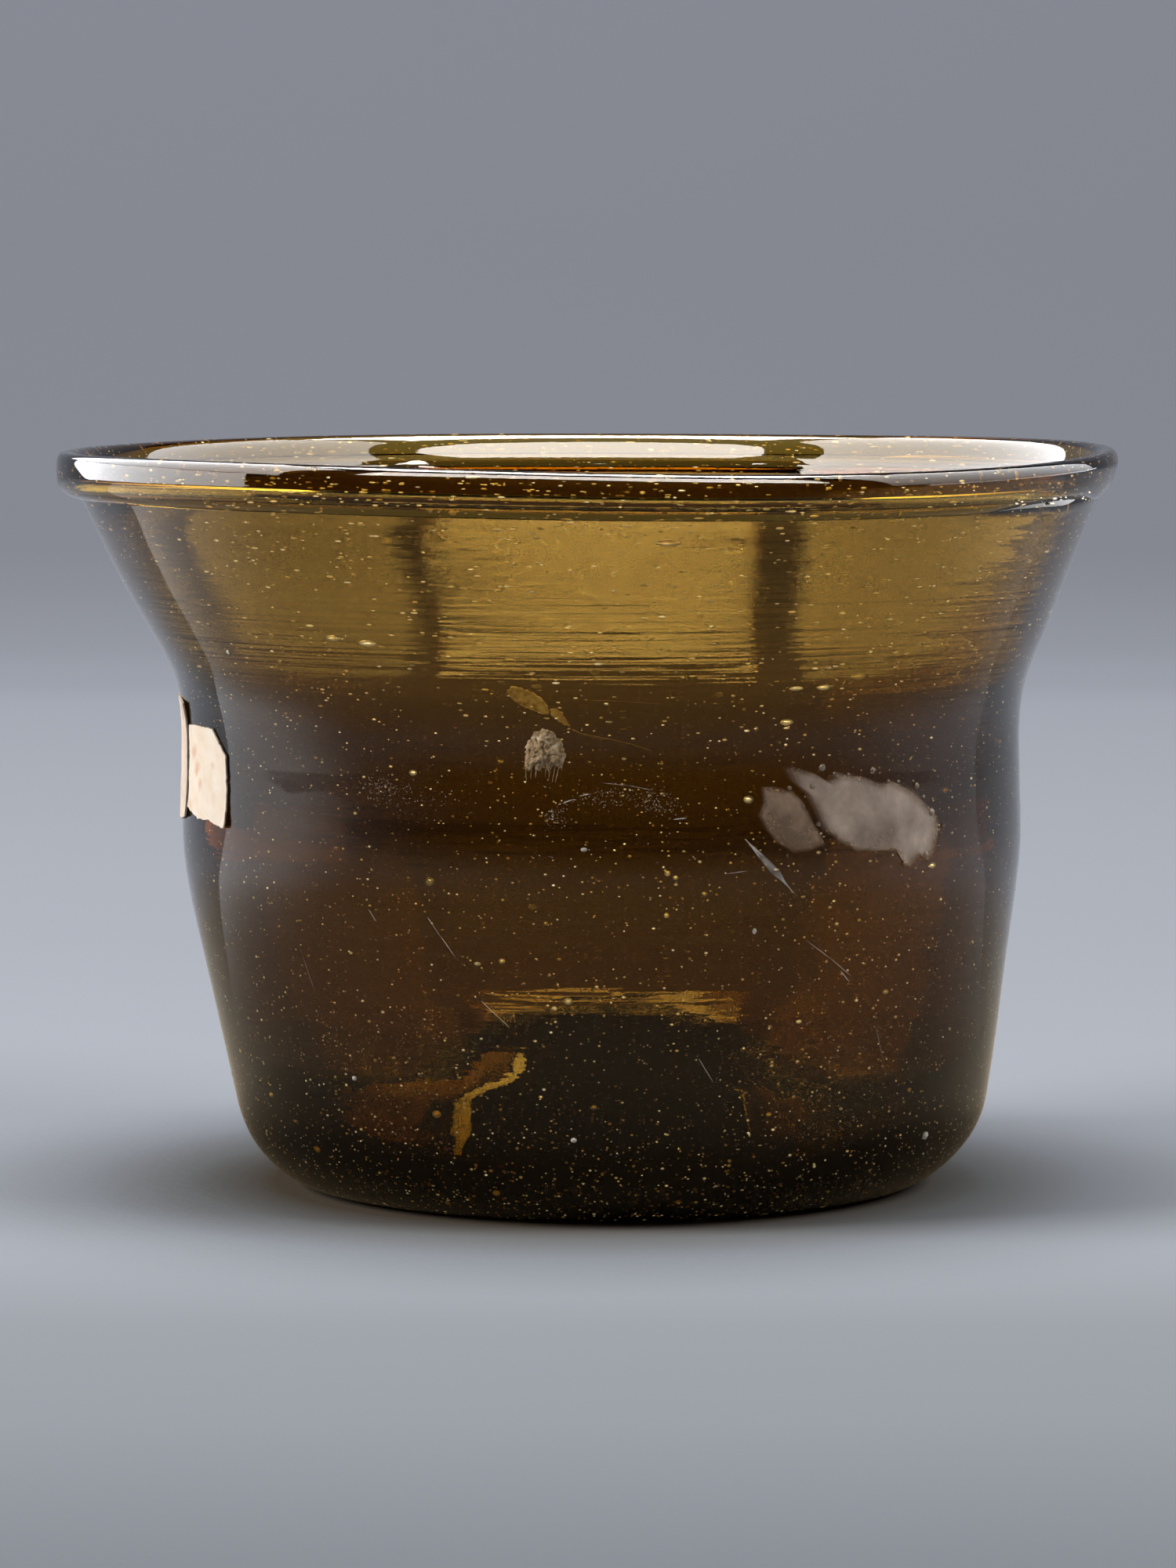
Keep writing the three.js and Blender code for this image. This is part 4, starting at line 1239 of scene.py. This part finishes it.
def addBoard(name, place, towards, width, height, kind, brightness):
    startClean()
    bpy.ops.mesh.primitive_plane_add(size=1)
    board = named(name)
    turned = Vector(towards).to_track_quat("Z", "Y").to_matrix().to_4x4()
    board.data.transform(Matrix.Translation(place) @ turned @ Matrix.Diagonal((width, height, 1, 1)))
    foot, top = place[2] - height / 2, place[2] + height / 2
    finishBoard(board, boardLook(name + "Look", foot, top, kind, brightness))


def addFloorBoard(name, strong, weak, near, far, brightness):
    startClean()
    bpy.ops.mesh.primitive_grid_add(x_subdivisions=lightRig["floorBoardSteps"], y_subdivisions=1, size=1)
    board = named(name)
    place = points(board)
    turn = np.radians(np.interp(place[:, 0], [-0.5, 0.5], [strong, weak]))
    away = np.interp(place[:, 1], [-0.5, 0.5], [near, far])
    movePoints(board, np.stack([away * np.sin(turn), -away * np.cos(turn),
                                0 * away + lightRig["floorBoardLevel"]], axis=1))
    finishBoard(board, floorBoardLook(name + "Look", strong, weak, brightness))


def addLamp(name, place, size, brightness):
    bpy.ops.object.light_add(type="AREA", location=place)
    lamp = bpy.context.object
    lamp.name = name
    lamp.rotation_mode = "QUATERNION"
    lamp.rotation_quaternion = (Vector(lightRig["aim"]) - Vector(place)).to_track_quat("-Z", "Y")
    lamp.data.shape = "SQUARE"
    lamp.data.size = size
    lamp.data.energy = brightness * math.pi * size ** 2
    lamp.visible_camera = False
    lamp.visible_glossy = False
    lamp.visible_transmission = False


for name, (fromAzimuth, toAzimuth, low, high, distance, kind, *brightness) in lightRig["boards"].items():
    turn = math.radians((fromAzimuth + toAzimuth) / 2)
    half = math.radians((toAzimuth - fromAzimuth) / 2)
    bottom = distance * math.tan(math.radians(low))
    top = distance * math.tan(math.radians(high))
    back = Vector((math.sin(turn), -math.cos(turn), 0))
    place = Vector(lightRig["aim"]) + back * distance + Vector((0, 0, (bottom + top) / 2))
    addBoard(name, place, -back, 2 * distance * math.tan(half), top - bottom, kind, brightness)
place, width, depth, brightness = lightRig["roofBoard"]
addBoard("roofBoard", Vector(place), (0, 0, -1), width, depth, "outerFace", (brightness, brightness))
for name, setting in lightRig["floorBoards"].items():
    addFloorBoard(name, *setting)
for name, setting in lightRig["lamps"].items():
    addLamp(name, *setting)
world = bpy.data.worlds.new("studioWorld")
scene.world = world
world.use_nodes = True
world.node_tree.nodes.clear()
glossyRay = addNode(world.node_tree, "ShaderNodeLightPath").outputs["Is Glossy Ray"]
sky = addNode(world.node_tree, "ShaderNodeBackground", {
    "Color": (1, 1, 1, 1),
    "Strength": remapped(world.node_tree, glossyRay, (0, 1), (lightRig["world"], lightRig["worldMirrored"]))})
addNode(world.node_tree, "ShaderNodeOutputWorld", {"Surface": sky.outputs[0]})

scene.view_settings.view_transform = "Standard"
scene.cycles.max_bounces = 24
scene.cycles.transmission_bounces = 24
scene.cycles.glossy_bounces = 12
print("stage and lights set")
